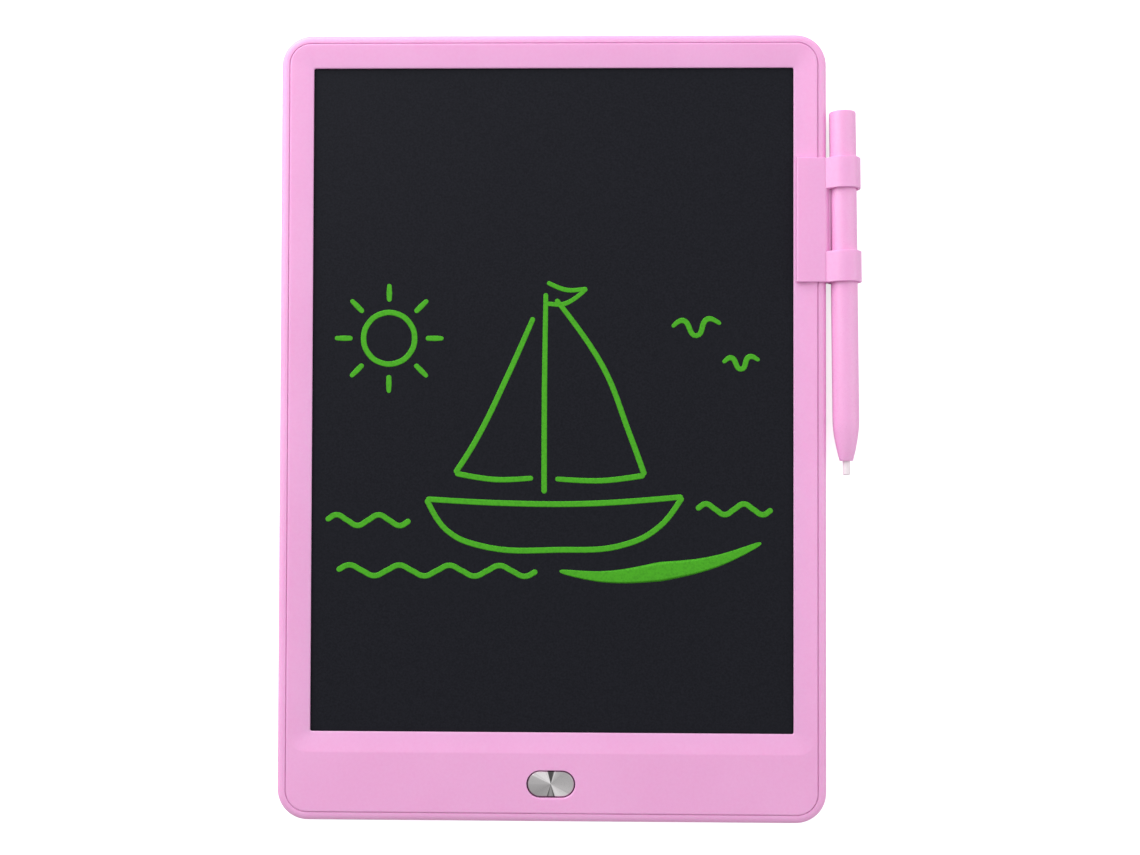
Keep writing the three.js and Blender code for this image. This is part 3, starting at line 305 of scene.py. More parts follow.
class StageSettings(PropertyGroup):
    camera: place("Camera place", "Where the camera stands", (12.636 * MM, -7.514 * MM, 407.011 * MM))
    camera_turn: FloatVectorProperty(
        name="Camera turn", description="How the camera is turned", size=3, subtype="EULER",
        unit="ROTATION", default=(math.radians(1.027), math.radians(1.0076), math.radians(0.1669)),
    )
    sensor: factor("Sensor width", "Width of the camera's sensor, in its own millimetres", 36, 1, 100)
    nearest: length("Nearest", "Nearest distance that the camera shows", 10)
    farthest: length("Farthest", "Farthest distance that the camera shows", 20000)
    focal_share: factor("Focal share", "Focal length as a share of the picture's width", 1300 / 1140, 0.1, 10)
    ambient: factor("Ambient light", "Strength of the light from all round", 0.47, 0, 4)
    key: power("Key lamp", "Power of the upper left lamp", 5.6)
    key_place: place("Key lamp place", "Where the upper left lamp stands", (-0.46, 0.46, 0.32))
    fill: power("Fill lamp", "Power of the right lamp", 2.8)
    fill_place: place("Fill lamp place", "Where the right lamp stands", (0.72, 0.15, 0.45))
    edge: power("Edge lamp", "Power of the low lamp at the top", 1.8)
    edge_place: place("Edge lamp place", "Where the low lamp stands", (-0.4, 0.8, 0.2))
    lamp_size: length("Lamp size", "Length of the lamps' sides", 850)
    floor_size: length("Floor size", "Length of the floor's sides", 6000)
    floor_gap: length("Floor gap", "Gap between the tablet's back and the floor", 0.05)
    glow: factor("Floor glow", "How bright the floor is made for the camera alone", 0.72)


# Selecting and modelling
def only(piece):
    """Selects one object and nothing else."""
    bpy.ops.object.select_all(action="DESELECT")
    piece.select_set(True)
    bpy.context.view_layer.objects.active = piece


def edit(piece):
    only(piece)
    bpy.ops.object.mode_set(mode="EDIT")
    bpy.ops.mesh.select_all(action="DESELECT")


def leave():
    bpy.ops.object.mode_set(mode="OBJECT")


def choose(piece, test, kind="FACE"):
    """In edit mode, selects the faces or edges that pass a test."""
    bpy.ops.mesh.select_mode(type=kind)
    bpy.ops.mesh.select_all(action="DESELECT")
    mesh = bmesh.from_edit_mesh(piece.data)
    for element in mesh.faces if kind == "FACE" else mesh.edges:
        if test(element):
            element.select_set(True)
    bmesh.update_edit_mesh(piece.data)


def arc(across, up, radius, start, end, steps):
    """Points on a round stretch, as pairs of a distance across and a height."""
    turns = [math.radians(start + (end - start) * i / steps) for i in range(steps + 1)]
    return [(across + radius * math.cos(t), up + radius * math.sin(t)) for t in turns]


def inset(outline, amount, height):
    """A rounded rectangle drawn in by an amount and set at a height."""
    width, depth, radius, x, y, _ = outline
    return (width - 2 * amount, depth - 2 * amount, max(radius - amount, WELD), x, y, height)


def stadium(length_x, width_y, x, y, height):
    return (length_x, width_y, width_y * 0.4999, x, y, height)


def remember(piece, number):
    """Marks the selected vertices as the outline of that number."""
    mesh = bmesh.from_edit_mesh(piece.data)
    layer = mesh.verts.layers.int.get("outline") or mesh.verts.layers.int.new("outline")
    for vertex in mesh.verts:
        if vertex.select:
            vertex[layer] = number
    bmesh.update_edit_mesh(piece.data)


def choose_outlines(piece, numbers):
    def on_outline(edge):
        layer = bmesh.from_edit_mesh(piece.data).verts.layers.int.get("outline")
        first, second = (vertex[layer] for vertex in edge.verts)
        return first == second and first in numbers

    choose(piece, on_outline, "EDGE")


def loft(name, outlines, steps, closed=False):
    """A skin bridged through rounded rectangles, each one given as width, depth, radius, x, y and z."""
    bpy.ops.object.select_all(action="DESELECT")
    bpy.ops.mesh.primitive_plane_add(size=1, location=outlines[0][3:])
    piece = bpy.context.object
    piece.name = name
    bpy.ops.object.transform_apply(location=True)
    bpy.ops.object.mode_set(mode="EDIT")
    for number, (width, depth, radius, *place) in enumerate(outlines, 1):
        if number > 1:
            bpy.ops.mesh.primitive_plane_add(size=1, location=place)
        bpy.ops.transform.resize(value=(width, depth, 1), center_override=place)
        bpy.ops.mesh.bevel(offset=radius, segments=steps, affect="VERTICES")
        remember(piece, number)
        bpy.ops.mesh.delete(type="ONLY_FACE")
    last = len(outlines)
    for number in range(1, last):
        choose_outlines(piece, (number, number + 1))
        bpy.ops.mesh.bridge_edge_loops()
    if closed:
        choose_outlines(piece, (1, last))
        bpy.ops.mesh.bridge_edge_loops()
    else:
        for number in (1, last):
            choose_outlines(piece, (number,))
            bpy.ops.mesh.edge_face_add()
    bpy.ops.mesh.select_all(action="SELECT")
    bpy.ops.mesh.normals_make_consistent(inside=False)
    leave()
    piece.data.attributes.remove(piece.data.attributes["outline"])
    return piece


def raised(name, outline, profile, steps):
    """A body whose outline is drawn in and lifted along a profile of pairs of an amount and a height."""
    return loft(name, [inset(outline, amount, height) for amount, height in profile], steps)


def block(name, low, high):
    """A box between two corners."""
    bpy.ops.object.select_all(action="DESELECT")
    low, high = Vector(low), Vector(high)
    bpy.ops.mesh.primitive_cube_add(size=1, location=(low + high) / 2, scale=high - low)
    piece = bpy.context.object
    piece.name = name
    bpy.ops.object.transform_apply(location=True, scale=True)
    return piece


def rod(name, radius, low, high, x, y, steps=48):
    """An upright cylinder."""
    bpy.ops.object.select_all(action="DESELECT")
    bpy.ops.mesh.primitive_cylinder_add(
        vertices=steps, radius=radius, depth=high - low, location=(x, y, (low + high) / 2)
    )
    piece = bpy.context.object
    piece.name = name
    bpy.ops.object.transform_apply(location=True)
    return piece


def turned(name, rings, steps):
    """A round body about the Y axis, run ring by ring through pairs of a place and a radius."""
    bpy.ops.object.select_all(action="DESELECT")
    place, radius = rings[0]
    bpy.ops.mesh.primitive_circle_add(
        vertices=steps, radius=radius, fill_type="NGON", location=(0, place, 0), rotation=(math.pi / 2, 0, 0)
    )
    piece = bpy.context.object
    piece.name = name
    bpy.ops.object.transform_apply(location=True, rotation=True)
    bpy.ops.object.mode_set(mode="EDIT")
    bpy.ops.mesh.select_mode(type="FACE")
    bpy.ops.mesh.select_all(action="SELECT")
    for (before, old), (after, new) in zip(rings, rings[1:]):
        bpy.ops.mesh.extrude_region_move(TRANSFORM_OT_translate={"value": (0, after - before, 0)})
        bpy.ops.transform.resize(value=(new / old, 1, new / old), center_override=(0, after, 0))
    bpy.ops.mesh.select_all(action="SELECT")
    bpy.ops.mesh.normals_make_consistent(inside=False)
    leave()
    return piece


def moved(piece, place, turn=0.0):
    """Turns a piece about the upright axis, moves it and keeps both in its mesh."""
    only(piece)
    piece.rotation_euler = (0, 0, turn)
    piece.location = place
    bpy.ops.object.transform_apply(location=True, rotation=True)
    return piece


def copied(piece, move):
    """A copy of a piece with a mesh of its own, moved along."""
    only(piece)
    bpy.ops.object.duplicate()
    return moved(bpy.context.object, move)


def modify(piece, kind, **settings):
    """Adds a modifier, sets it and applies it."""
    only(piece)
    bpy.ops.object.modifier_add(type=kind)
    modifier = piece.modifiers[-1]
    for key, value in settings.items():
        setattr(modifier, key, value)
    bpy.ops.object.modifier_apply(modifier=modifier.name)


def combine(piece, others, operation="DIFFERENCE"):
    """Cuts the others from a piece, or joins them to it, and clears them away."""
    for other in others:
        modify(piece, "BOOLEAN", operation=operation, solver="EXACT", object=other)
        bpy.data.objects.remove(other)


def drawn_along_y(name, points, low, high):
    """A section in X and Z, drawn corner by corner and extruded along Y."""
    bpy.ops.object.select_all(action="DESELECT")
    corners = [Vector((x, low, z)) for x, z in points]
    bpy.ops.mesh.primitive_plane_add(size=1 * MM, location=corners[0])
    piece = bpy.context.object
    piece.name = name
    bpy.ops.object.transform_apply(location=True)
    bpy.ops.object.mode_set(mode="EDIT")
    bpy.ops.mesh.select_mode(type="VERT")
    bpy.ops.mesh.merge(type="CENTER")
    for before, after in zip(corners, corners[1:] + corners[:1]):
        bpy.ops.mesh.extrude_vertices_move(TRANSFORM_OT_translate={"value": after - before})
    bpy.ops.mesh.select_all(action="SELECT")
    bpy.ops.mesh.remove_doubles(threshold=WELD)
    bpy.ops.mesh.edge_face_add()
    bpy.ops.mesh.extrude_region_move(TRANSFORM_OT_translate={"value": (0, high - low, 0)})
    bpy.ops.mesh.select_all(action="SELECT")
    bpy.ops.mesh.normals_make_consistent(inside=False)
    leave()
    return piece


def soften_ends(piece, radius):
    """Rounds the edges round both ends of a piece that runs along Y."""
    ends = [corner[1] for corner in piece.bound_box]
    low, high = min(ends), max(ends)
    steep = math.radians(40)

    def at_end(edge):
        first, second = (vertex.co.y for vertex in edge.verts)
        level = abs(first - second) < WELD and min(abs(first - low), abs(first - high)) < WELD
        return level and edge.is_manifold and edge.calc_face_angle() > steep

    edit(piece)
    choose(piece, at_end, "EDGE")
    bpy.ops.mesh.bevel(offset=radius, segments=EDGE_STEPS, affect="EDGES")
    leave()


def finished(piece, body, slot, material, *nodes, sharp=35):
    """Smooths a piece, gives it its finish and sets it on its body in place of its CAD nodes."""
    edit(piece)
    bpy.ops.mesh.select_all(action="SELECT")
    bpy.ops.mesh.remove_doubles(threshold=WELD)
    bpy.ops.mesh.normals_make_consistent(inside=False)
    leave()
    bpy.ops.object.shade_smooth_by_angle(angle=math.radians(sharp))
    modify(piece, "WEIGHTED_NORMAL", keep_sharp=True, weight=80)
    piece.data.materials.clear()
    piece.data.materials.append(material)
    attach(piece, body)
    if nodes:
        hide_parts(*nodes)
    return piece


# Finishes
def new_finish(name, base, roughness, metallic=0.0):
    material = bpy.data.materials.get(name)
    if material:
        bpy.data.materials.remove(material)
    material = bpy.data.materials.new(name)
    material.use_nodes = True
    shader = material.node_tree.nodes["Principled BSDF"]
    shader.inputs["Base Color"].default_value = (*base, 1)
    shader.inputs["Roughness"].default_value = roughness
    shader.inputs["Metallic"].default_value = metallic
    material.diffuse_color = (*base, 1)
    return material


def add_node(owner, kind, inputs=None, **settings):
    """Adds a node to a material or the world. An input is a plain value or the output that feeds it."""
    tree = owner.node_tree
    made = tree.nodes.new(kind)
    for key, value in settings.items():
        setattr(made, key, value)
    for key, value in (inputs or {}).items():
        if isinstance(value, bpy.types.NodeSocket):
            tree.links.new(value, made.inputs[key])
        else:
            made.inputs[key].default_value = value
    return made


def feed(material, name, output):
    shader = material.node_tree.nodes["Principled BSDF"]
    material.node_tree.links.new(output, shader.inputs[name])


def place_on(material, stretch=(1, 1, 1), centre=(0, 0, 0)):
    """Object coordinates, centred on a point and stretched."""
    source = add_node(material, "ShaderNodeTexCoord").outputs["Object"]
    shift = [-c * s for c, s in zip(centre, stretch)]
    inputs = {"Vector": source, "Scale": stretch, "Location": shift}
    return add_node(material, "ShaderNodeMapping", inputs).outputs["Vector"]


def noise(material, size, detail=2.0, stretch=(1, 1, 1)):
    """Noise whose grains have about the given size in metres."""
    inputs = {"Vector": place_on(material, stretch), "Scale": 1 / size, "Detail": detail}
    return add_node(material, "ShaderNodeTexNoise", inputs).outputs["Fac"]


def blend_colours(material, share, first, second, low=0.35, high=0.65):
    ramp = add_node(material, "ShaderNodeValToRGB", {"Fac": share})
    ramp.color_ramp.elements[0].position = low
    ramp.color_ramp.elements[1].position = high
    ramp.color_ramp.elements[0].color = (*first, 1)
    ramp.color_ramp.elements[1].color = (*second, 1)
    return ramp.outputs["Color"]


def spread(material, share, low, high):
    inputs = {"Value": share, "From Min": 0.3, "From Max": 0.7, "To Min": low, "To Max": high}
    return add_node(material, "ShaderNodeMapRange", inputs).outputs["Result"]


def bump(material, height, depth, strength=1.0):
    inputs = {"Height": height, "Distance": depth, "Strength": strength}
    feed(material, "Normal", add_node(material, "ShaderNodeBump", inputs).outputs["Normal"])


def set_gloss(material, level):
    material.node_tree.nodes["Principled BSDF"].inputs["Specular IOR Level"].default_value = level


def moulded_plastic(name, first, second, roughness, grain=0.35 * MM, depth=0.004 * MM):
    """Satin moulded plastic: faint clouds of colour, a fine spark texture and uneven gloss."""
    material = new_finish(name, first, roughness)
    clouds = noise(material, CLOUDS)
    sparks = noise(material, grain, detail=3)
    speckle = noise(material, SPECKLE, detail=3)
    coloured = add_node(
        material, "ShaderNodeMix",
        {"Factor": 0.14, "A": blend_colours(material, clouds, second, first), "B": speckle},
        data_type="RGBA", blend_type="SOFT_LIGHT",
    )
    feed(material, "Base Color", coloured.outputs["Result"])
    feed(material, "Roughness", spread(material, sparks, roughness - 0.05, roughness + 0.06))
    bump(material, sparks, depth)
    return material


def metal(name, base, roughness, stretch=(1, 1, 1), grain=0.25 * MM):
    """Rolled or plated metal with fine scratches along one way."""
    material = new_finish(name, base, roughness, 1.0)
    scratches = noise(material, grain, detail=4, stretch=stretch)
    darker = [c * 0.86 for c in base]
    feed(material, "Base Color", blend_colours(material, scratches, darker, base))
    feed(material, "Roughness", spread(material, scratches, roughness - 0.06, roughness + 0.1))
    bump(material, scratches, 0.002 * MM)
    return material


def pink_plastic(name="pink_moulding", roughness=0.37):
    colours = bpy.context.scene.tablet_colours
    found = bpy.data.materials.get(name)
    if found:
        return found
    material = moulded_plastic(name, colours.pink, colours.pink_deep, roughness)
    shader = material.node_tree.nodes["Principled BSDF"]
    shader.inputs["Subsurface Weight"].default_value = colours.depth_share
    shader.inputs["Subsurface Radius"].default_value = tuple(colours.depth_colour)
    shader.inputs["Subsurface Scale"].default_value = colours.depth
    return material


def spun_steel(x, y):
    """Steel turned on a lathe: fine rings round the middle, and a painted reflection: a fan of light and dark
    sectors painted into the colour by the turn about the middle.
    """
    material = new_finish("spun_steel", (0.55, 0.54, 0.55), 0.3, metallic=1.0)
    around = place_on(material, centre=(x, y, 0))
    # Painted reflection: the colour below is set by the turn about the middle alone
    reflection_turn = add_node(material, "ShaderNodeTexGradient", {"Vector": around}, gradient_type="RADIAL")
    ramp = add_node(material, "ShaderNodeValToRGB", {"Fac": reflection_turn.outputs["Fac"]})
    # Turns about the middle in degrees, and how light the painted reflection makes the steel there
    painted_reflection_stops = [
        (-180, 0.40), (-150, 0.33), (-130, 0.35), (-110, 0.38), (-107, 0.09), (-103, 0.12), (-101, 0.28),
        (-90, 0.31), (-80, 0.27), (-77, 0.08), (-73, 0.10), (-70, 0.66), (-55, 0.72), (-30, 0.60),
        (-27, 0.48), (-20, 0.50), (0, 0.44), (40, 0.40), (66, 0.52), (72, 0.72), (76, 0.20), (79, 0.09),
        (101, 0.075), (104, 0.20), (107, 0.78), (113, 0.66), (117, 0.78), (142, 0.76), (148, 0.64),
        (152, 0.74), (157, 0.48), (170, 0.44),
    ]
    elements = ramp.color_ramp.elements
    while len(elements) > 1:
        elements.remove(elements[-1])
    tint = (1, 0.97, 0.975)
    for number, (turn, light) in enumerate(painted_reflection_stops):
        place = (turn + 180) / 360
        element = elements[0] if number == 0 else elements.new(place)
        element.position = place
        element.color = (*(light * share for share in tint), 1)
    ring = 0.35 * MM
    rings = add_node(
        material, "ShaderNodeTexWave", {"Vector": around, "Scale": 1 / ring, "Distortion": 0.6},
        wave_type="RINGS", rings_direction="Z",
    ).outputs["Fac"]
    scratches = noise(material, 0.2 * MM, detail=4)
    mixed = add_node(
        material, "ShaderNodeMix", {"Factor": 0.18, "A": ramp.outputs["Color"], "B": rings},
        data_type="RGBA", blend_type="MULTIPLY",
    )
    # The painted reflection's light and dark sectors, darkened a little by the rings, become the steel's
    # colour
    feed(material, "Base Color", mixed.outputs["Result"])
    feed(material, "Roughness", spread(material, scratches, 0.26, 0.4))
    bump(material, rings, 0.003 * MM, strength=0.6)
    return material


def matte(material):
    """The fine tooth of the writing film, with little gloss."""
    bump(material, noise(material, 0.12 * MM, detail=1), 0.002 * MM)
    set_gloss(material, 0.06)


def writing_film():
    """Matte film over the dark screen, with a fine grain."""
    colours = bpy.context.scene.tablet_colours
    material = new_finish("writing_film", colours.film, 0.5)
    grain = noise(material, 0.55 * MM)
    mixed = blend_colours(material, grain, colours.film, colours.film_grain, low=0.3, high=0.7)
    feed(material, "Base Color", mixed)
    feed(material, "Roughness", spread(material, grain, 0.46, 0.58))
    matte(material)
    return material


def drawn_line():
    colours = bpy.context.scene.tablet_colours
    material = new_finish("drawn_line", colours.line, 0.5)
    grain = noise(material, 0.7 * MM, detail=3)
    mixed = blend_colours(material, grain, colours.line_dim, colours.line, low=0.25, high=0.55)
    feed(material, "Base Color", mixed)
    matte(material)
    return material


# Places that follow from the frame
def body_outline():
    """The body's outer outline, without its edge rounding."""
    low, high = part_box("rear_shell")
    corner = bpy.context.scene.shell_sizes.corner
    return (high.x - low.x, high.y - low.y, corner, (low.x + high.x) / 2, (low.y + high.y) / 2, low.z)


def window_outline():
    """The screen window in the bezel."""
    bezel = bpy.context.scene.bezel_sizes
    width, depth, _, x, y, _ = body_outline()
    high = y + depth / 2 - bezel.top
    low = y - depth / 2 + bezel.bottom
    return (width - 2 * bezel.side, high - low, bezel.window_corner, x, (low + high) / 2, 0)


def middle(node):
    low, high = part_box(node)
    return (low + high) / 2


def radius_of(node):
    """Half the height of a round piece that lies on its side."""
    low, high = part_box(node)
    return (high.z - low.z) / 2


def stadium_of(node, gap=0.0):
    """A stadium round a node's box, with a gap."""
    low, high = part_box(node)
    centre = middle(node)
    return stadium(high.x - low.x + 2 * gap, high.y - low.y + 2 * gap, centre.x, centre.y, 0)


def joint(name):
    return next(j for j in frame["joints"] if j["name"] == name)


def stylus_axis():
    """Where the stylus' axis passes the middle of the clip, and its direction."""
    barrel = frame["nodes"]["stylus_barrel"].data.vertices
    inside = sum((vertex.co for vertex in barrel), Vector()) / len(barrel)
    direction = Vector(joint("stylus_pull")["axis"]).normalized()
    low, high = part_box("stylus_holder")
    return inside + direction * ((low.y + high.y) / 2 - inside.y) / direction.y, direction


def set_on_stylus(piece):
    """Leans a piece made about the Y axis and moves it onto the stylus' axis."""
    point, direction = stylus_axis()
    return moved(piece, point, math.atan2(-direction.x, direction.y))


def bezel_plate(context, height):
    """The bezel's outer outline, inside the seam."""
    inner = context.scene.shell_sizes.rim + context.scene.bezel_sizes.seam
    return inset(body_outline(), inner, height)


def door_outline():
    """The battery door's outline, from its hinge line to its free end."""
    low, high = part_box("battery_door")
    hinge = joint("battery_door_swing")["pos_m"][0]
    corner = bpy.context.scene.door_sizes.corner
    return (high.x - hinge, high.y - low.y, corner, (hinge + high.x) / 2, (low.y + high.y) / 2, 0)


# Rear shell
class TABLET_OT_rear_shell(Operator):
    """Models the rear shell with its rounded rim, ribs, battery bay and the lock's dish"""

    bl_idname = "tablet.rear_shell"
    bl_label = "Rear Shell"

    def execute(self, context):
        sizes = context.scene.shell_sizes
        low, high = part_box("rear_shell")
        edge, turn = sizes.edge, sizes.rim_round
        profile = arc(edge, low.z + edge, edge, 270, 180, sizes.edge_steps)
        profile += arc(edge, high.z - edge, edge, 180, 90, sizes.edge_steps)
        profile += arc(sizes.rim - turn, high.z - turn - NUDGE, turn, 90, 0, sizes.rim_steps)
        profile.append((sizes.rim, sizes.floor))
        outline = body_outline()
        shell = raised("rear_shell_moulding", outline, profile, sizes.corner_steps)
        combine(shell, self.inner_walls(context, outline), "UNION")
        combine(shell, self.openings(context))
        finished(shell, "tablet", "pink_plastic", pink_plastic(), "rear_shell")
        return {"FINISHED"}

    def inner_walls(self, context, outline):
        """The battery bay's block, the ribs both ways and the bosses."""
        sizes = context.scene.shell_sizes
        width, depth, _, x, y, _ = outline
        half_x, half_y = (side / 2 - sizes.rim + LAP for side in (width, depth))
        root = sizes.floor - LAP
        bay_low, bay_high = self.bay(context)
        bay_top = context.scene.door_sizes.bay_height
        walls = [block("bay", (bay_low.x, y - half_y, root), (bay_high.x, bay_high.y, bay_top))]
        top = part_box("backing_board")[0].z - sizes.board_gap
        foot, head = bay_high.y, y + half_y
        half = sizes.rib / 2
        for i in range(int((head - foot) // sizes.rib_pitch) + 1):
            place = foot + half + i * sizes.rib_pitch
            walls.append(block("rib", (x - half_x, place - half, root), (x + half_x, place + half, top)))
        along, lower = int(half_x // sizes.rib_pitch), top - sizes.rib_step
        for i in range(-along, along + 1):
            place = x + i * sizes.rib_pitch
            walls.append(block("rib", (place - half, foot, root), (place + half, head, lower)))
        boss_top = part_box("circuit_board")[0].z - sizes.board_gap
        for screw in BOARD_SCREWS:
            place = middle(screw)
            walls.append(rod("boss", sizes.boss, root, boss_top, place.x, place.y))
        return walls

    def bay(self, context):
        """Corners of the battery bay's block."""
        door = context.scene.door_sizes
        low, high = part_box("battery_door")
        left = low.x - door.gap - door.tab_wall
        right = high.x + door.gap + door.wall
        return Vector((left, low.y, 0)), Vector((right, high.y + door.gap + door.wall, 0))

    def openings(self, context):
        """Cutters for the door's recess, the cell, the screws, the lock and the clip."""
        sizes, door = context.scene.shell_sizes, context.scene.door_sizes
        above = door.bay_height + OVERRUN
        recess = inset(door_outline(), -door.gap, 0)
        cell, (cell_low, cell_high) = middle("coin_cell"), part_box("coin_cell")
        bore = (cell_high.x - cell_low.x) / 2 + door.bore_gap
        screw = middle("battery_door_screw")
        cutters = [
            self.flared("recess", recess, door.thickness + door.lay_gap, door.edge),
            rod("bore", bore, -OVERRUN, above, cell.x, cell.y, door.bore_steps),
            rod("screw_hole", door.screw_hole, -OVERRUN, above, screw.x, screw.y),
        ]
        cutters += self.tab_rooms(door, above)
        leaf_low, leaf_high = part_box("battery_contact_positive")
        gap = door.run_gap
        leaf_end = cell.x + bore + gap + door.leaf_room
        leaf_start = (cell.x, leaf_low.y - gap, leaf_low.z - gap)
        cutters.append(block("leaf_room", leaf_start, (leaf_end, leaf_high.y + gap, above)))
        cutters += self.lock_openings(context.scene.lock_sizes, sizes.floor)
        cutters.append(self.clip_recess(context.scene.clip_sizes))
        for name in BOARD_SCREWS:
            place, bottom = middle(name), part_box(name)[0].z - sizes.board_gap
            cutters.append(rod("boss_hole", sizes.boss_hole, bottom, above, place.x, place.y))
        return cutters

    def tab_rooms(self, door, above):
        """Room for both tabs at rest and as the door swings."""
        low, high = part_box("battery_door")
        hinge = joint("battery_door_swing")["pos_m"][0]
        left, right = low.x - door.run_gap, hinge + door.tab_root + door.tab_room
        half = door.tab_width / 2 + door.run_gap
        rooms = []
        for way in (-1, 1):
            place = (low.y + high.y) / 2 + way * door.tab_spread / 2
            corner = (left, place - half, door.thickness)
            rooms.append(block("tab_room", corner, (right, place + half, above)))
        return rooms

    def flared(self, name, outline, high, edge):
        """A cutter whose mouth at the back opens with a small rounding."""
        profile = [(-edge, -OVERRUN), (-edge, 0), *arc(-edge, edge, edge, -60, 0, steps=2), (0, high)]
        return raised(name, outline, profile, SMALL_STEPS)

    def lock_openings(self, lock, floor):
        """The dish round the lock's knob, and the slot for its stem."""
        knob = middle("lock_knob")
        x = knob.x + lock.travel / 2
        wall, gap = 2 * lock.dish_wall, 2 * lock.gap
        dish = stadium(lock.pad_length + lock.travel + wall, lock.pad_width + wall, x, knob.y, 0)
        slot = stadium(lock.stem_length + lock.travel + gap, lock.stem_width + gap, x, knob.y, 0)
        through = [(0, -OVERRUN), (0, floor + OVERRUN)]
        return [
            self.flared("dish", dish, lock.dish_depth, lock.dish_round),
            raised("slot", slot, through, SMALL_STEPS),
        ]

    def clip_recess(self, clip):
        low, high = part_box("stylus_holder")
        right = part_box("rear_shell")[1].x + OVERRUN
        return block(
            "clip_recess", (low.x - clip.gap, low.y - clip.gap, -OVERRUN),
            (right, high.y + clip.gap, clip.back + clip.gap),
        )


# Front bezel
class TABLET_OT_front_bezel(Operator):
    """Models the front bezel: its border falls from a crease to the screen, and the button has a slot"""

    bl_idname = "tablet.front_bezel"
    bl_label = "Front Bezel"

    def execute(self, context):
        sizes = context.scene.bezel_sizes
        low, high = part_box("front_bezel")
        plate = bezel_plate(context, high.z)
        window = window_outline()
        under = high.z - sizes.thickness
        step = high.z - sizes.seam_depth
        edge = sizes.edge
        outlines = [inset(plate, sizes.skirt, low.z + NUDGE), inset(plate, -sizes.seam_lap, low.z)]
        outlines += [inset(plate, -sizes.seam_lap, step - NUDGE), inset(plate, 0, step)]
        outlines += [inset(plate, a, z) for a, z in arc(edge, high.z - edge, edge, 180, 90, sizes.edge_steps)]
        outlines += self.border(sizes, plate, window, high.z)
        outlines.append(inset(window, 0, under))
        outlines.append(inset(plate, sizes.skirt, under - NUDGE))
        bezel = loft("front_bezel_moulding", outlines, sizes.corner_steps, closed=True)
        combine(bezel, [self.button_slot(context, under, high.z)])
        finished(bezel, "tablet", "pink_plastic", pink_plastic(), "front_bezel")
        return {"FINISHED"}

    def border(self, sizes, plate, window, top):
        """Outlines from the crease down the sloping border and round the window's edge."""
        crease = self.crease(sizes, plate, window)
        slope = sizes.drop / ((crease[0] - window[0]) / 2)
        soft, turn = sizes.crease_soft, sizes.window_round
        outer, inner = sizes.crease_lead * soft, (1 - sizes.crease_lead) * soft
        lip = top - sizes.drop
        start = math.degrees(sizes.window_start)
        rounding = arc(-turn, lip - turn * (1 - sizes.window_rise), turn, start, 0, sizes.edge_steps)
        return [
            inset(crease, -outer, top - NUDGE), inset(crease, inner, top - inner * slope),
            inset(window, -turn - soft, lip + (turn + soft) * slope),
            *(inset(window, amount, height) for amount, height in rounding),
        ]

    def crease(self, sizes, plate, window):
        width, depth, _, x, y, _ = plate
        top = y + depth / 2 - sizes.crease_inset
        bottom = window[4] - window[1] / 2 - sizes.crease_below
        return (width - 2 * sizes.crease_inset, top - bottom, sizes.crease_corner, x, (top + bottom) / 2, 0)

    def button_slot(self, context, under, top):
        sizes = context.scene.button_sizes
        slot = stadium_of("button_face", sizes.gap)
        flare = sizes.flare
        profile = [(0, under - OVERRUN), *arc(-flare, top - flare, flare, 0, 90, sizes.flare_steps)]
        profile.append((-flare, top + OVERRUN))
        return raised("button_slot", slot, profile, sizes.corner_steps)


# Erase button
class TABLET_OT_button(Operator):
    """Models the erase button's face of spun steel"""

    bl_idname = "tablet.button"
    bl_label = "Erase Button"

    # The turned edge as shares of its width: how far in and how far below the face
    edge_shares = ((0, 1), (0.45, 0.4), (1, 0.08), (1.3, 0))
    foot_share = 0.1

    def execute(self, context):
        sizes = context.scene.button_sizes
        low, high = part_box("button_face")
        centre = middle("button_face")
        foot = self.foot_share * sizes.edge
        profile = [(foot, low.z), (0, low.z + foot)]
        profile += [(across * sizes.edge, high.z - down * sizes.edge) for across, down in self.edge_shares]
        button = raised("button_cap", stadium_of("button_face"), profile, sizes.corner_steps)
        # The button's face carries a painted reflection: light and dark sectors about its middle
        steel = spun_steel(centre.x, centre.y)
        finished(button, "erase_button", "brushed_steel", steel, "button_face", sharp=25)
        return {"FINISHED"}


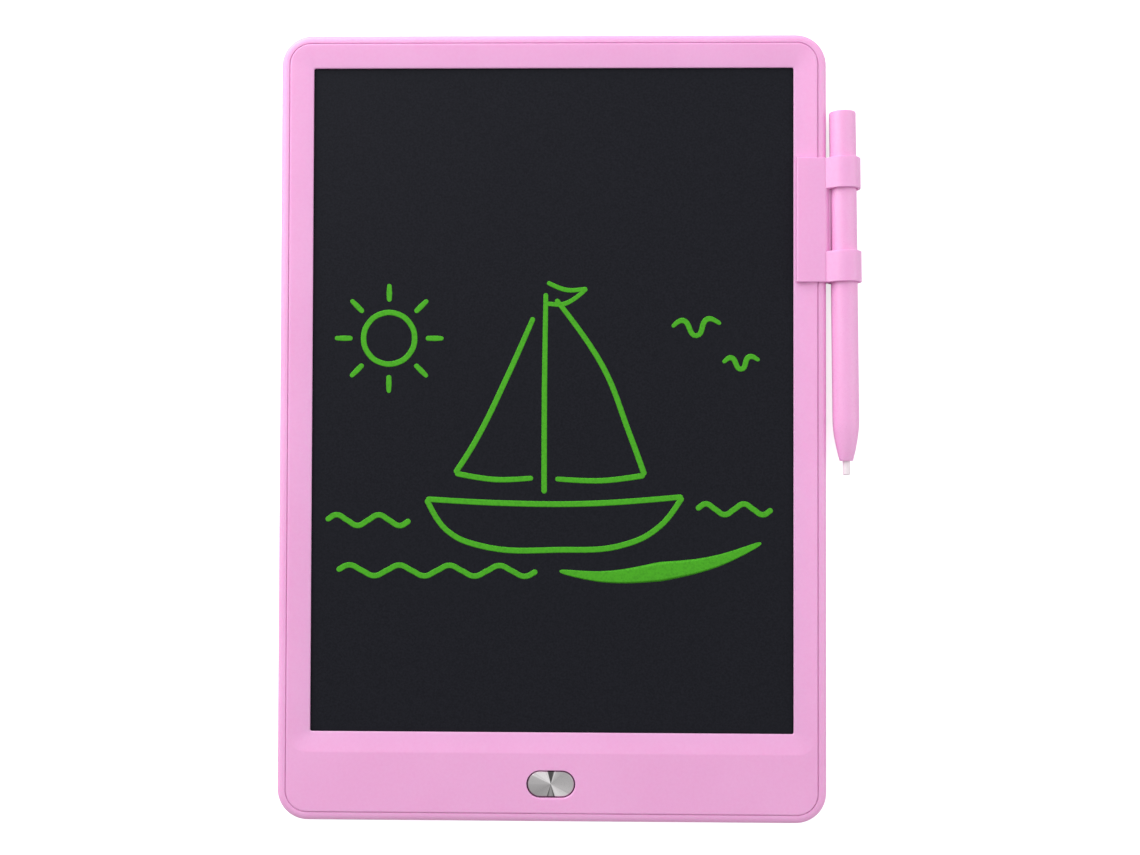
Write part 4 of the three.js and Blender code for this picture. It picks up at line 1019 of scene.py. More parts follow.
# Stylus clip
class TABLET_OT_clip(Operator):
    """Models the clip that wraps the body's edge and holds the stylus in two loops"""

    bl_idname = "tablet.clip"
    bl_label = "Stylus Clip"

    def execute(self, context):
        sizes = context.scene.clip_sizes
        low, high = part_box("stylus_holder")
        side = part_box("rear_shell")[1].x
        half = sizes.length / 2
        point, _ = stylus_axis()
        section = self.section(context, low, side)
        wrap = drawn_along_y("stylus_clip", section, point.y - half, point.y + half)
        soften_ends(wrap, sizes.soft)
        parts = self.loops(sizes, high, point, side)
        cradle = self.cradle(sizes, low, point, side + sizes.gap + sizes.wall)
        combine(cradle, [self.body_room(sizes, point, side)])
        combine(wrap, [*parts, cradle], "UNION")
        finished(wrap, "tablet", "pink_plastic", pink_plastic(), "stylus_holder", sharp=28)
        return {"FINISHED"}

    def section(self, context, low, side):
        """The front plate, the wall and the rear plate, as pairs of X and Z."""
        sizes = context.scene.clip_sizes
        bezel = context.scene.bezel_sizes
        edge = context.scene.shell_sizes.edge
        rim_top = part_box("rear_shell")[1].z
        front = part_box("front_bezel")[1].z
        outside = side + sizes.gap + sizes.wall
        left = side - sizes.plate_reach
        top = front + sizes.plate
        window = window_outline()
        window_x = window[3] + window[0] / 2
        crease_x = bezel_plate(context, front)[0] / 2 - bezel.crease_inset
        slope = bezel.drop / (crease_x - window_x)
        inner = edge + sizes.gap
        end = math.degrees(math.asin((edge - sizes.back) / inner))
        points = [
            (left, front - slope * (crease_x - left) + sizes.gap), (crease_x, front + sizes.gap),
            (side - edge, front + sizes.gap),
        ]
        points += arc(side - edge, rim_top - edge, inner, 90, 0, sizes.inner_steps)
        points += arc(side - edge, edge, inner, 0, -end, sizes.inner_steps // 2)
        points += [(low.x, low.z + sizes.back), (low.x, low.z)]
        turn = sizes.back_round
        points += arc(outside - turn, low.z + turn, turn, 270, 360, sizes.back_steps)
        turn = sizes.front_round
        points += arc(outside - turn, top - turn, turn, 0, 90, sizes.front_steps)
        turn = sizes.plate_edge
        points += arc(left + turn, top - turn, turn, 90, 180, sizes.plate_steps)
        return points

    def loops(self, sizes, high, point, side):
        """Both loops, leaned with the stylus, outside the body's edge."""
        first = self.loop(sizes, high.z - point.z)
        reach = (sizes.length - sizes.loop) / 2
        second = copied(first, (0, reach, 0))
        moved(first, (0, -reach, 0))
        for loop in (first, second):
            set_on_stylus(loop)
            combine(loop, [self.body_room(sizes, point, side)])
        return [first, second]

    def loop(self, sizes, radius):
        """One loop about the Y axis, with a shoulder towards the plate and a corner at its outer side."""
        spread = math.acos(1 / sizes.corner_share)
        points = self.shoulder(sizes, radius, spread)
        shoulder = Vector(points[-1])
        lower = math.atan2(shoulder.y, shoulder.x) + math.acos(radius / shoulder.length)
        outer = math.degrees(sizes.corner_angle - spread)
        points += arc(0, 0, radius, math.degrees(lower), 360 + outer, sizes.steps)
        corner = Vector((math.cos(sizes.corner_angle), math.sin(sizes.corner_angle)))
        corner *= radius * sizes.corner_share
        for end in (points[-1], points[0]):
            points.append(tuple(corner + (Vector(end) - corner).normalized() * sizes.corner_cut))
        loop = drawn_along_y("loop", points, -sizes.loop / 2, sizes.loop / 2)
        bpy.ops.mesh.primitive_cylinder_add(
            vertices=sizes.steps, radius=radius - sizes.loop_wall, depth=2 * sizes.loop,
            rotation=(math.pi / 2, 0, 0),
        )
        combine(loop, [bpy.context.object])
        soften_ends(loop, sizes.soft)
        return loop

    def shoulder(self, sizes, radius, spread):
        """The loop's front from its corner to the end of its shoulder in the plate."""
        turn = sizes.shoulder_angle
        start = math.degrees(sizes.corner_angle + spread)
        points = arc(0, 0, radius, start, math.degrees(turn), SMALL_STEPS)
        along = Vector((-math.sin(turn), math.cos(turn)))
        end = Vector(points[-1]) + along * (radius + sizes.shoulder + points[-1][0]) / -along.x
        return [*points, tuple(end)]

    def cradle(self, sizes, low, point, outside):
        """The web under the stylus, which rises towards the wall and follows the stylus."""
        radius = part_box("stylus_holder")[1].z - point.z - sizes.loop_wall
        left, right = outside - sizes.back_round, outside + sizes.web_reach
        high_turn = math.asin((right - point.x) / radius)
        low_turn = -sizes.cradle_angle
        points = [(left, low.z), (right, low.z)]
        for i in range(sizes.cradle_steps + 1):
            turn = high_turn + (low_turn - high_turn) * i / sizes.cradle_steps
            points.append((point.x + radius * math.sin(turn), point.z - radius * math.cos(turn)))
        points.append((left, points[-1][1]))
        half = (sizes.length - sizes.loop) / 2
        return drawn_along_y("web", points, point.y - half, point.y + half)

    def body_room(self, sizes, point, side):
        """A cutter that keeps the loops and the web out of the body, but for their lap."""
        edge = bpy.context.scene.shell_sizes.edge
        reach = edge + sizes.gap + LAP
        left, top = side - sizes.plate_reach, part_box("front_bezel")[1].z + sizes.gap + LAP
        outline = [(left, -OVERRUN), (left, top), (side - edge, top)]
        outline += arc(side - edge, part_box("rear_shell")[1].z - edge, reach, 90, 0, SMALL_STEPS)
        outline.append((side - edge + reach, -OVERRUN))
        return drawn_along_y("body_room", outline, point.y - sizes.length, point.y + sizes.length)


# Stylus
class TABLET_OT_stylus(Operator):
    """Models the stylus: its barrel with a long nose, and the nib"""

    bl_idname = "tablet.stylus"
    bl_label = "Stylus"

    # Rings of the upper end's dome, as shares of its rise, and the share of its width left at the top
    dome_rings = (0.25, 0.5, 0.75, 1)
    dome_end = 0.01

    def execute(self, context):
        sizes = context.scene.stylus_sizes
        point, _ = stylus_axis()
        low, high = (corner.y - point.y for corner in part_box("stylus_barrel"))
        nib_low, nib_high = (corner.y - point.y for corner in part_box("stylus_nib"))
        self.barrel(sizes, low, high, nib_high)
        self.nib(context, sizes, nib_low, nib_high)
        return {"FINISHED"}

    def barrel(self, sizes, low, high, nib_end):
        rings = self.nose(sizes, low, nib_end) + self.top(sizes, high)
        barrel = set_on_stylus(turned("stylus_body", rings, sizes.steps))
        glossier = pink_plastic("pink_stylus_plastic", roughness=0.3)
        finished(barrel, "stylus", "pink_plastic", glossier, "stylus_barrel", sharp=50)

    def nose(self, sizes, low, nib_end):
        """Rings from the nib's bore round the nose's lower edge and up its curve."""
        radius, bore = radius_of("stylus_barrel"), radius_of("stylus_nib") + sizes.nib_gap
        small, cut = sizes.nose_round, EDGE_MIDDLE * sizes.nose_round
        rings = [(nib_end + small, bore), (low + small, bore), (low + cut, bore + cut), (low, bore + small)]
        rings += [(low + NUDGE, sizes.nose_radius - small), (low + cut, sizes.nose_radius - cut)]
        shoulder = low + sizes.nose
        turn = shoulder - sizes.nose_share * sizes.nose
        for i in range(sizes.nose_steps + 1):
            t = i / sizes.nose_steps
            place = (1 - t) ** 2 * (low + small) + 2 * t * (1 - t) * turn + t * t * shoulder
            rings.append((place, (1 - t) ** 2 * sizes.nose_radius + (1 - (1 - t) ** 2) * radius))
        return rings

    def top(self, sizes, high):
        """Rings round the upper edge and over the dome."""
        turn = sizes.top_round
        edge = radius_of("stylus_barrel") - turn
        end = math.degrees(sizes.top_turn)
        rounding = arc(edge, high - sizes.top_dome - turn, turn, 0, end, sizes.top_steps)
        rings = [(place, across) for across, place in rounding]
        place, across = rings[-1]
        for t in self.dome_rings:
            narrower = across * (1 - (1 - self.dome_end) * t)
            rings.append((place + (high - place) * (1 - (1 - t) ** 2), narrower))
        return rings

    def nib(self, context, sizes, low, high):
        radius, tip = radius_of("stylus_nib"), sizes.nib_tip
        start = -math.degrees(sizes.nib_turn)
        rounding = arc(radius - tip, low + tip, tip, start, 0, sizes.nib_rings)
        rings = [(low, (radius - tip) * sizes.nib_flat)]
        rings += [(place, across) for across, place in rounding]
        rings.append((high, radius))
        nib = set_on_stylus(turned("stylus_tip", rings, sizes.nib_steps))
        pale = context.scene.tablet_colours.nib
        shade = [c * 0.96 for c in pale]
        material = moulded_plastic("nib_plastic", pale, shade, 0.38, grain=0.2 * MM)
        finished(nib, "stylus", "white_plastic", material, "stylus_nib", sharp=50)


# Battery door
class TABLET_OT_battery_door(Operator):
    """Models the battery door with its tabs, and its screw"""

    bl_idname = "tablet.battery_door"
    bl_label = "Battery Door"

    # Sizes of the screw's head, its shank and its cross slot
    head, head_round = 0.5 * MM, 0.12 * MM
    shank, shank_sink = 0.68 * MM, 0.1 * MM
    slot_arm, slot_half, slot_depth = 0.85 * MM, 0.17 * MM, 0.32 * MM
    # The thread's pitch, its radius at the foot and the crest of each turn, and the faces round it
    pitch, thread_foot, thread_crest, thread_steps = 0.5 * MM, 0.66 * MM, 0.85 * MM, 32
    # The height of each turn's rise, the rise's middle and its end, and the height of its fall, as
    # shares of the pitch, and the radius where the fall ends, as a share of the crest's
    rise, rise_middle, crest, fall, narrowing = 0.4, 0.3, 0.5, 0.25, 0.78

    def execute(self, context):
        sizes = context.scene.door_sizes
        low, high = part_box("battery_door")
        outline, centre_y = door_outline(), (low.y + high.y) / 2
        profile = arc(sizes.edge, sizes.edge, sizes.edge, 270, 180, EDGE_STEPS)
        profile.append((0, sizes.thickness))
        door = raised("battery_cover", outline, profile, SMALL_STEPS)
        combine(door, self.tabs(sizes, low, high, centre_y), "UNION")
        combine(door, self.cuts(sizes, high, centre_y))
        finished(door, "battery_cover", "pink_plastic", pink_plastic(), "battery_door")
        self.screw()
        return {"FINISHED"}

    def tabs(self, sizes, low, high, centre_y):
        """Each tab as its root on the door and the tongue that reaches past the hinge line."""
        made = []
        half = sizes.tab_width / 2
        hinge = joint("battery_door_swing")["pos_m"][0]
        root = hinge + sizes.tab_root
        foot, lift = sizes.thickness - LAP, sizes.thickness + sizes.tab_lift
        for way in (-1, 1):
            y = centre_y + way * sizes.tab_spread / 2
            made.append(block("root", (hinge, y - half, foot), (root, y + half, high.z)))
            tongue_end = (root - 2 * LAP, y + half, high.z - sizes.tab_step)
            made.append(block("tab", (low.x, y - half, lift), tongue_end))
        return made

    def cuts(self, sizes, high, centre_y):
        """Room for the screw's head and shank, and the notch for a finger nail."""
        screw_low, screw_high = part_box("battery_door_screw")
        screw = middle("battery_door_screw")
        head = (screw_high.x - screw_low.x) / 2 + sizes.screw_room
        notch = stadium(sizes.nail, 2 * sizes.nail_depth, 0, 0, 0)
        nail = raised("nail", notch, [(0, -OVERRUN), (0, sizes.nail_depth)], sizes.nail_steps)
        return [
            rod("head_room", head, -OVERRUN, sizes.head_depth, screw.x, screw.y),
            rod("shank_room", sizes.shank_hole, -OVERRUN, sizes.thickness + OVERRUN, screw.x, screw.y),
            moved(nail, (high.x, centre_y, 0), math.pi / 2),
        ]

    def screw(self):
        """A pan head with a cross recess, and a shank with a coarse thread."""
        low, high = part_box("battery_door_screw")
        centre = middle("battery_door_screw")
        place = low.z + self.head
        screw = rod("door_screw", (high.x - low.x) / 2, low.z, place, centre.x, centre.y)
        modify(screw, "BEVEL", width=self.head_round, segments=3, limit_method="ANGLE")
        ridges = []
        while place + self.pitch < high.z:
            ridges.append(self.ridge(centre, place))
            place += self.pitch
        foot = low.z + self.shank_sink
        shank = rod("shank", self.shank, foot, high.z, centre.x, centre.y, self.thread_steps)
        combine(screw, [shank, *ridges], "UNION")
        recess = []
        start, end = low.z - OVERRUN, low.z + self.slot_depth
        for a, b in ((self.slot_arm, self.slot_half), (self.slot_half, self.slot_arm)):
            corner = (centre.x - a, centre.y - b, start)
            recess.append(block("slot", corner, (centre.x + a, centre.y + b, end)))
        combine(screw, recess)
        steel = metal("plated_screw", (0.62, 0.62, 0.63), 0.28)
        finished(screw, "battery_cover", "nickel", steel, "battery_door_screw")

    def ridge(self, centre, place):
        """One turn of the thread, as a ring with a sharp crest."""
        pitch = self.pitch
        bpy.ops.object.select_all(action="DESELECT")
        bpy.ops.mesh.primitive_cone_add(
            vertices=self.thread_steps, radius1=self.thread_foot, radius2=self.thread_crest,
            depth=pitch * self.rise, location=(centre.x, centre.y, place + pitch * self.rise_middle),
        )
        ridge = bpy.context.object
        bpy.ops.object.transform_apply(location=True)
        top = place + pitch * self.crest

        def at_crest(face):
            return face.calc_center_median().z > top - WELD * 10 and abs(face.normal.z) > 0.9

        edit(ridge)
        choose(ridge, at_crest)
        fall = pitch * self.fall
        bpy.ops.mesh.extrude_region_move(TRANSFORM_OT_translate={"value": (0, 0, fall)})
        pivot = (centre.x, centre.y, top + fall)
        bpy.ops.transform.resize(value=(self.narrowing, self.narrowing, 1), center_override=pivot)
        leave()
        return ridge


# Lock
class TABLET_OT_lock_knob(Operator):
    """Models the lock's sliding knob with its grooves, stem and flange"""

    bl_idname = "tablet.lock_knob"
    bl_label = "Lock Knob"

    def execute(self, context):
        sizes = context.scene.lock_sizes
        low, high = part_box("lock_knob")
        centre = middle("lock_knob")
        pad = stadium(sizes.pad_length, sizes.pad_width, centre.x, centre.y, 0)
        stem = stadium(sizes.stem_length, sizes.stem_width, centre.x, centre.y, 0)
        turn = sizes.pad_round
        profile = arc(turn, low.z + turn, turn, 270, 180, EDGE_STEPS) + [(0, low.z + sizes.pad_thickness)]
        knob = raised("lock_slide_knob", pad, profile, SMALL_STEPS)
        stem_low, stem_high = low.z + sizes.pad_thickness / 2, high.z - 2 * LAP
        flange = [(0, high.z - sizes.flange), (0, high.z)]
        inner = [
            raised("stem", stem, [(0, stem_low), (0, stem_high)], SMALL_STEPS),
            raised("flange", stadium_of("lock_knob"), flange, SMALL_STEPS),
        ]
        combine(knob, inner, "UNION")
        combine(knob, self.cuts(sizes, centre, low))
        black = moulded_plastic("knob_plastic", (0.018, 0.018, 0.02), (0.012, 0.012, 0.014), 0.5)
        finished(knob, "lock_slider", "black_plastic", black, "lock_knob")
        return {"FINISHED"}

    def cuts(self, sizes, centre, low):
        """The grooves across the pad, and the socket for the switch's lever."""
        made = []
        outline = stadium(sizes.pad_width - 2 * sizes.grip, sizes.grip, 0, 0, 0)
        profile = [(0, -OVERRUN), (0, low.z + sizes.grip_depth)]
        for i in range(sizes.grips):
            x = centre.x + (i - (sizes.grips - 1) / 2) * 2 * sizes.grip
            groove = raised("groove", outline, profile, sizes.grip_steps)
            made.append(moved(groove, (x, centre.y, 0), math.pi / 2))
        lever_low, lever_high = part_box("slide_switch_lever")
        room = Vector((sizes.lever_gap, sizes.lever_gap, sizes.lever_gap))
        made.append(block("socket", lever_low - room, lever_high + room))
        return made


# Writing on the screen
class TABLET_OT_drawing(Operator):
    """Draws a small boat on the sea on the screen, as lines of the stylus"""

    bl_idname = "tablet.drawing"
    bl_label = "Drawing"

    # The sun's middle and round, and how far out its rays run, in shares like those of the lines
    sun = (-0.72, 0.6)
    sun_round = (0.115, 0.17)
    ray = (0.165, 0.205, 0.245)
    ray_stretch = 1.47
    # Points near a line's end, as shares of half its width along the line and of the pressure there
    blunt = ((0, 0.3), (0.2, 0.68), (0.75, 1))

    def execute(self, context):
        sizes = context.scene.drawing_sizes
        window = window_outline()
        self.middle = Vector((window[3] - sizes.left, window[4] - sizes.down))
        self.half = Vector((sizes.width / 2, sizes.height / 2))
        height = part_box("writing_film")[1].z
        bpy.ops.object.select_all(action="DESELECT")
        bpy.ops.curve.primitive_bezier_curve_add(location=(0, 0, 0))
        drawing = bpy.context.object
        drawing.name = "drawn_lines"
        curve = drawing.data
        curve.splines.clear()
        curve.dimensions = "3D"
        curve.bevel_depth = sizes.line / 2
        curve.bevel_resolution = sizes.round_steps
        curve.resolution_u = sizes.steps
        curve.use_fill_caps = True
        for points, weights, loop in self.strokes(sizes):
            self.add_stroke(curve, points, weights, loop, height)
        bpy.ops.object.convert(target="MESH")
        drawing = bpy.context.object
        bpy.ops.object.mode_set(mode="EDIT")
        bpy.ops.mesh.select_all(action="SELECT")
        bpy.ops.mesh.remove_doubles(threshold=WELD)
        bpy.ops.mesh.normals_make_consistent(inside=False)
        share = 2 * sizes.lift / sizes.line
        bpy.ops.transform.resize(value=(1, 1, share), center_override=(0, 0, height))
        leave()
        bpy.ops.object.shade_smooth()
        drawing.data.materials.clear()
        drawing.data.materials.append(drawn_line())
        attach(drawing, "tablet")
        return {"FINISHED"}

    def add_stroke(self, curve, points, weights, loop, height):
        places = [(self.middle + Vector(point) * self.half).to_3d() for point in points]
        for place in places:
            place.z = height
        if not loop:
            places, weights = self.round_ends(places, weights, curve.bevel_depth)
        spline = curve.splines.new("BEZIER")
        spline.bezier_points.add(len(places) - 1)
        spline.use_cyclic_u = loop
        for point, place, weight in zip(spline.bezier_points, places, weights):
            point.co = place
            point.radius = weight
            point.handle_left_type = point.handle_right_type = "AUTO"

    def round_ends(self, places, weights, half_width):
        """Draws each end of a line in to a blunt point."""
        for _ in range(2):
            tip, toward = places[0], (places[1] - places[0]).normalized()
            reach = half_width * weights[0]
            places = [tip + toward * reach * along for along, _ in self.blunt] + places[1:]
            weights = [weights[0] * pressure for _, pressure in self.blunt] + weights[1:]
            places, weights = places[::-1], weights[::-1]
        return places, weights

    def strokes(self, sizes):
        """Each line's points, in shares of the drawing's half size, its pressure and whether it closes."""
        heavy = sizes.heavy / sizes.line
        lines = [
            ([(-0.02, -0.42), (-0.02, 0.25), (-0.015, 0.9)], [1, 0.95, 0.85], False),
            ([(0.03, 0.86), (0.24, 0.42), (0.36, -0.02), (0.43, -0.30)], [0.9, 1, 1, 1.05], False),
            ([(0.43, -0.30), (0.24, -0.335), (0.03, -0.325)], [1.05, 1, 0.9], False),
            ([(-0.07, 0.74), (-0.19, 0.34), (-0.33, -0.08), (-0.42, -0.29)], [0.9, 1, 1, 1], False),
            ([(-0.42, -0.29), (-0.24, -0.33), (-0.07, -0.32)], [1, 1, 0.9], False),
            ([(-0.55, -0.46), (-0.2, -0.485), (0.2, -0.485), (0.6, -0.44)], [1, 1.05, 1.05, 1], False),
            (
                [(-0.55, -0.46), (-0.46, -0.66), (-0.32, -0.76), (0.05, -0.79), (0.35, -0.75), (0.5, -0.63),
                 (0.6, -0.44)],
                [1, 1, 1.05, 1.05, 1.05, 1, 1], False,
            ),
            ([(-0.01, 0.97), (0.08, 0.92), (0.17, 0.93)], [0.8, 0.85, 0.7], False),
            ([(-0.015, 0.83), (0.07, 0.83), (0.17, 0.93)], [0.8, 0.85, 0.7], False),
            (
                [self.about_sun(t, *self.sun_round) for t in self.turns(10)],
                [1] * 10, True,
            ),
            (
                [(0.05, -0.93), (0.25, -0.965), (0.5, -0.93), (0.75, -0.86), (0.95, -0.74)],
                [0.55, 0.6 * heavy, heavy, 0.62 * heavy, 0.5], False,
            ),
        ]
        for t in self.turns(8):
            ray = [self.about_sun(t, r, r * self.ray_stretch) for r in self.ray]
            lines.append((ray, [0.9, 1, 0.8], False))
        for *wave, crests in ((-1, -0.62, -0.6, 2), (0.66, 1, -0.52, 2), (-0.95, -0.05, -0.93, 4)):
            points = self.wave(*wave, crests, sizes.wave)
            lines.append((points, [1] * len(points), False))
        for x, y, size in ((0.66, 0.62, 1), (0.86, 0.4, 0.75)):
            bird = [(-0.11, 0.06), (-0.06, 0.1), (0, 0), (0.05, 0.11), (0.11, 0.08)]
            lines.append(([(x + a * size, y + b * size) for a, b in bird], [0.7, 1, 0.9, 1, 0.7], False))
        return lines

    def turns(self, number):
        return [2 * math.pi * i / number for i in range(number)]

    def about_sun(self, turn, across, up):
        return (self.sun[0] + across * math.cos(turn), self.sun[1] + up * math.sin(turn))

    def wave(self, start, end, level, crests, height):
        """Points along a wavy line, four to each crest."""
        steps = 4 * crests
        return [
            (start + (end - start) * i / steps, level + height * math.sin(2 * math.pi * crests * i / steps))
            for i in range(steps + 1)
        ]


# Pieces that keep their CAD shape
class TABLET_OT_inner_parts(Operator):
    """Gives the screen's layers and everything inside the body their finishes"""

    bl_idname = "tablet.inner_parts"
    bl_label = "Screen and Inner Parts"

    # Each finish's two colours, its roughness, the size of its grain in millimetres and its nodes
    plastics = {
        "switch_plastic": (
            (0.02, 0.02, 0.022), (0.014, 0.014, 0.016), 0.45, 0.35,
            ("tact_switch_housing", "button_carrier", "slide_switch_lever"),
        ),
        "crystal": ((0.012, 0.013, 0.016), (0.01, 0.01, 0.013), 0.3, 0.35, ("liquid_crystal_sheet",)),
        "backing": ((0.12, 0.125, 0.13), (0.09, 0.095, 0.1), 0.7, 0.9, ("backing_board",)),
        "tape": ((0.01, 0.01, 0.01), (0.007, 0.007, 0.007), 0.85, 0.5, ("bezel_tape",)),
        "plunger": ((0.85, 0.83, 0.82), (0.8, 0.78, 0.77), 0.5, 0.35, ("tact_plunger",)),
        "epoxy": ((0.02, 0.02, 0.02), (0.013, 0.013, 0.013), 0.6, 0.15, ("driver_chip",)),
        "capacitor_ceramic": (
            (0.42, 0.3, 0.18), (0.34, 0.24, 0.14), 0.55, 0.3,
            tuple(f"ceramic_capacitor_{i}" for i in (1, 2, 3, 4)),
        ),
    }

    def execute(self, context):
        screw = metal("zinc_screw", (0.6, 0.6, 0.61), 0.3)
        nickel = metal("nickel_plate", (0.62, 0.61, 0.59), 0.25, stretch=(1, 6, 1))
        finishes = {
            "writing_film": writing_film(),
            "circuit_board": self.circuit_board(),
            "slide_switch_body": screw,
            "boost_inductor": self.wound_coil(),
            "ribbon_cable": self.flat_cable(),
            "coin_cell": metal("cell_can", (0.64, 0.63, 0.61), 0.22, stretch=(8, 1, 1)),
            "battery_contact_negative": nickel,
            "battery_contact_positive": nickel,
        }
        finishes.update({name: screw for name in BOARD_SCREWS})
        for finish, (first, second, roughness, grain, nodes) in self.plastics.items():
            material = moulded_plastic(finish, first, second, roughness, grain * MM)
            finishes.update({name: material for name in nodes})
        for name, material in finishes.items():
            node = frame["nodes"][name]
            node.data.materials.clear()
            node.data.materials.append(material)
        return {"FINISHED"}

    def circuit_board(self):
        """Green solder mask over copper tracks that run along the board."""
        material = new_finish("solder_mask", (0.018, 0.12, 0.05), 0.35)
        along, pitch = place_on(material, stretch=(1, 0.35, 1)), 2.4 * MM
        cells = add_node(
            material, "ShaderNodeTexVoronoi", {"Vector": along, "Scale": 1 / pitch},
            distance="MANHATTAN", feature="DISTANCE_TO_EDGE",
        ).outputs["Distance"]
        track, mask = (0.03, 0.19, 0.08), (0.016, 0.1, 0.042)
        feed(material, "Base Color", blend_colours(material, cells, track, mask, low=0.03, high=0.07))
        bump(material, cells, 0.02 * MM, strength=0.4)
        return material

    def wound_coil(self):
        """Enamelled wire between dark ferrite flanges."""
        material = new_finish("coil", (0.045, 0.04, 0.036), 0.5)
        low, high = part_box("boost_inductor")
        height = add_node(material, "ShaderNodeSeparateXYZ", {"Vector": place_on(material)}).outputs["Z"]
        flange, turn = 0.3 * MM, 0.02 * MM
        above, below = (
            add_node(
                material, "ShaderNodeMapRange", {"Value": height, "From Min": start, "From Max": end}
            ).outputs["Result"]
            for start, end in (
                (low.z + flange, low.z + flange + turn), (high.z - flange, high.z - flange - turn)
            )
        )
        inside = add_node(material, "ShaderNodeMath", {0: above, 1: below}, operation="MULTIPLY").outputs[0]
        ferrite, copper = (0.04, 0.036, 0.032), (0.5, 0.2, 0.08)
        feed(material, "Base Color", blend_colours(material, inside, ferrite, copper))
        bump(material, self.stripes(material, 0.45 * MM, "Z"), 0.02 * MM)
        return material

    def flat_cable(self):
        """Amber polyimide with copper lines along it."""
        material = new_finish("polyimide", (0.42, 0.17, 0.03), 0.35)
        lines = self.stripes(material, 1.6 * MM, "X")
        between, over = (0.3, 0.11, 0.02), (0.48, 0.2, 0.04)
        feed(material, "Base Color", blend_colours(material, lines, between, over, low=0.4, high=0.6))
        bump(material, lines, 0.01 * MM, strength=0.5)
        return material

    def stripes(self, material, size, way):
        """Soft stripes across one axis, whose size is given as for noise."""
        inputs = {"Vector": place_on(material), "Scale": 1 / size}
        return add_node(material, "ShaderNodeTexWave", inputs, bands_direction=way).outputs["Fac"]


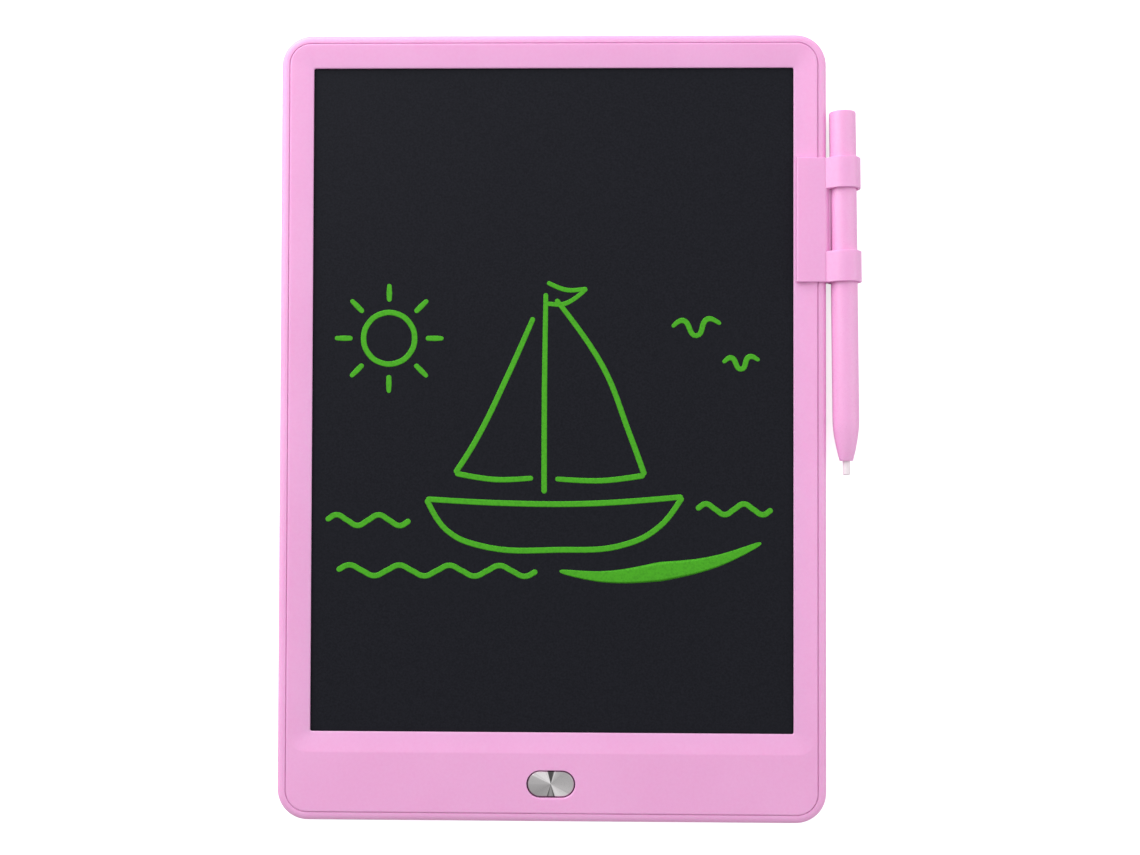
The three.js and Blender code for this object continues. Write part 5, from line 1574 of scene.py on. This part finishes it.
# Stage
class TABLET_OT_stage(Operator):
    """Sets up the floor, the lamps, the world and the camera"""

    bl_idname = "tablet.stage"
    bl_label = "Stage"

    def execute(self, context):
        settings = context.scene.stage_settings
        context.scene.view_settings.view_transform = "Standard"
        self.floor(context)
        self.world(context, settings)
        self.lamp("key_lamp", settings.key_place, settings.lamp_size, settings.key)
        self.lamp("fill_lamp", settings.fill_place, settings.lamp_size, settings.fill)
        self.lamp("edge_lamp", settings.edge_place, settings.lamp_size / 2, settings.edge)
        self.camera(context, settings)
        return {"FINISHED"}

    def floor(self, context):
        """A pale floor that the camera alone sees brighter than it is."""
        settings, pale = context.scene.stage_settings, context.scene.tablet_colours.floor
        height = cad_low.z - settings.floor_gap
        bpy.ops.object.select_all(action="DESELECT")
        bpy.ops.mesh.primitive_plane_add(size=settings.floor_size, location=(0, 0, height))
        floor = bpy.context.object
        floor.name = "floor"
        material = new_finish("floor", pale, 0.9)
        paper = noise(material, 1.5 * MM, detail=3)
        feed(material, "Base Color", blend_colours(material, paper, [c * 0.98 for c in pale], pale))
        set_gloss(material, 0.0)
        seen = add_node(material, "ShaderNodeLightPath").outputs["Is Camera Ray"]
        white = (settings.glow, settings.glow, settings.glow, 1)
        glow = add_node(material, "ShaderNodeEmission", {"Strength": seen, "Color": white})
        tree = material.node_tree
        plain = tree.nodes["Principled BSDF"].outputs["BSDF"]
        both = add_node(material, "ShaderNodeAddShader", {0: plain, 1: glow.outputs["Emission"]})
        tree.links.new(both.outputs["Shader"], tree.nodes["Material Output"].inputs["Surface"])
        floor.data.materials.append(material)

    def world(self, context, settings):
        """White to the camera and in reflections, and a plain soft light on everything else."""
        world = context.scene.world or bpy.data.worlds.new("studio")
        context.scene.world = world
        world.use_nodes = True
        world.node_tree.nodes.clear()
        path = add_node(world, "ShaderNodeLightPath").outputs
        seen = self.greater(world, path["Is Camera Ray"], path["Is Glossy Ray"])
        through = self.greater(world, seen, path["Is Transmission Ray"])
        inputs = {"Value": through, "To Min": settings.ambient, "To Max": 1}
        strength = add_node(world, "ShaderNodeMapRange", inputs).outputs["Result"]
        background = add_node(world, "ShaderNodeBackground", {"Color": (1, 1, 1, 1), "Strength": strength})
        add_node(world, "ShaderNodeOutputWorld", {"Surface": background.outputs["Background"]})

    def greater(self, world, first, second):
        return add_node(world, "ShaderNodeMath", {0: first, 1: second}, operation="MAXIMUM").outputs[0]

    def lamp(self, name, place, size, watts):
        """A square lamp that faces the tablet's middle."""
        bpy.ops.object.light_add(type="AREA", location=place)
        lamp = bpy.context.object
        lamp.name = name
        lamp.data.size = size
        lamp.data.energy = watts
        lamp.rotation_euler = (-Vector(place)).to_track_quat("-Z", "Y").to_euler()

    def camera(self, context, settings):
        bpy.ops.object.camera_add(location=settings.camera, rotation=Euler(settings.camera_turn))
        camera = bpy.context.object
        camera.name = "photo_camera"
        camera.data.sensor_width = settings.sensor
        camera.data.lens = settings.focal_share * camera.data.sensor_width
        camera.data.clip_start = settings.nearest
        camera.data.clip_end = settings.farthest
        context.scene.camera = camera


class TABLET_PT_panel(Panel):
    """Lists the steps that make the tablet"""

    bl_label = "Writing Tablet"
    bl_idname = "TABLET_PT_panel"
    bl_space_type = "VIEW_3D"
    bl_region_type = "UI"
    bl_category = "Tablet"

    def draw(self, context):
        for step in STEPS:
            self.layout.operator(step.bl_idname)
        for name in GROUPS:
            box = self.layout.box()
            settings = getattr(context.scene, name)
            box.label(text=settings.bl_rna.name)
            for key in settings.__annotations__:
                box.prop(settings, key)


GROUPS = {
    "shell_sizes": ShellSizes,
    "bezel_sizes": BezelSizes,
    "button_sizes": ButtonSizes,
    "door_sizes": DoorSizes,
    "lock_sizes": LockSizes,
    "clip_sizes": ClipSizes,
    "stylus_sizes": StylusSizes,
    "drawing_sizes": DrawingSizes,
    "tablet_colours": Colours,
    "stage_settings": StageSettings,
}
STEPS = (
    TABLET_OT_rear_shell,
    TABLET_OT_front_bezel,
    TABLET_OT_button,
    TABLET_OT_clip,
    TABLET_OT_stylus,
    TABLET_OT_battery_door,
    TABLET_OT_lock_knob,
    TABLET_OT_drawing,
    TABLET_OT_inner_parts,
    TABLET_OT_stage,
)


def register():
    for name, group in GROUPS.items():
        bpy.utils.register_class(group)
        setattr(bpy.types.Scene, name, PointerProperty(type=group))
    for step in STEPS:
        bpy.utils.register_class(step)
    bpy.utils.register_class(TABLET_PT_panel)


def unregister():
    bpy.utils.unregister_class(TABLET_PT_panel)
    for step in reversed(STEPS):
        bpy.utils.unregister_class(step)
    for name, group in reversed(GROUPS.items()):
        delattr(bpy.types.Scene, name)
        bpy.utils.unregister_class(group)


def main():
    register()
    for step in STEPS:
        family, name = step.bl_idname.split(".")
        getattr(getattr(bpy.ops, family), name)()


if __name__ == "__main__":
    main()
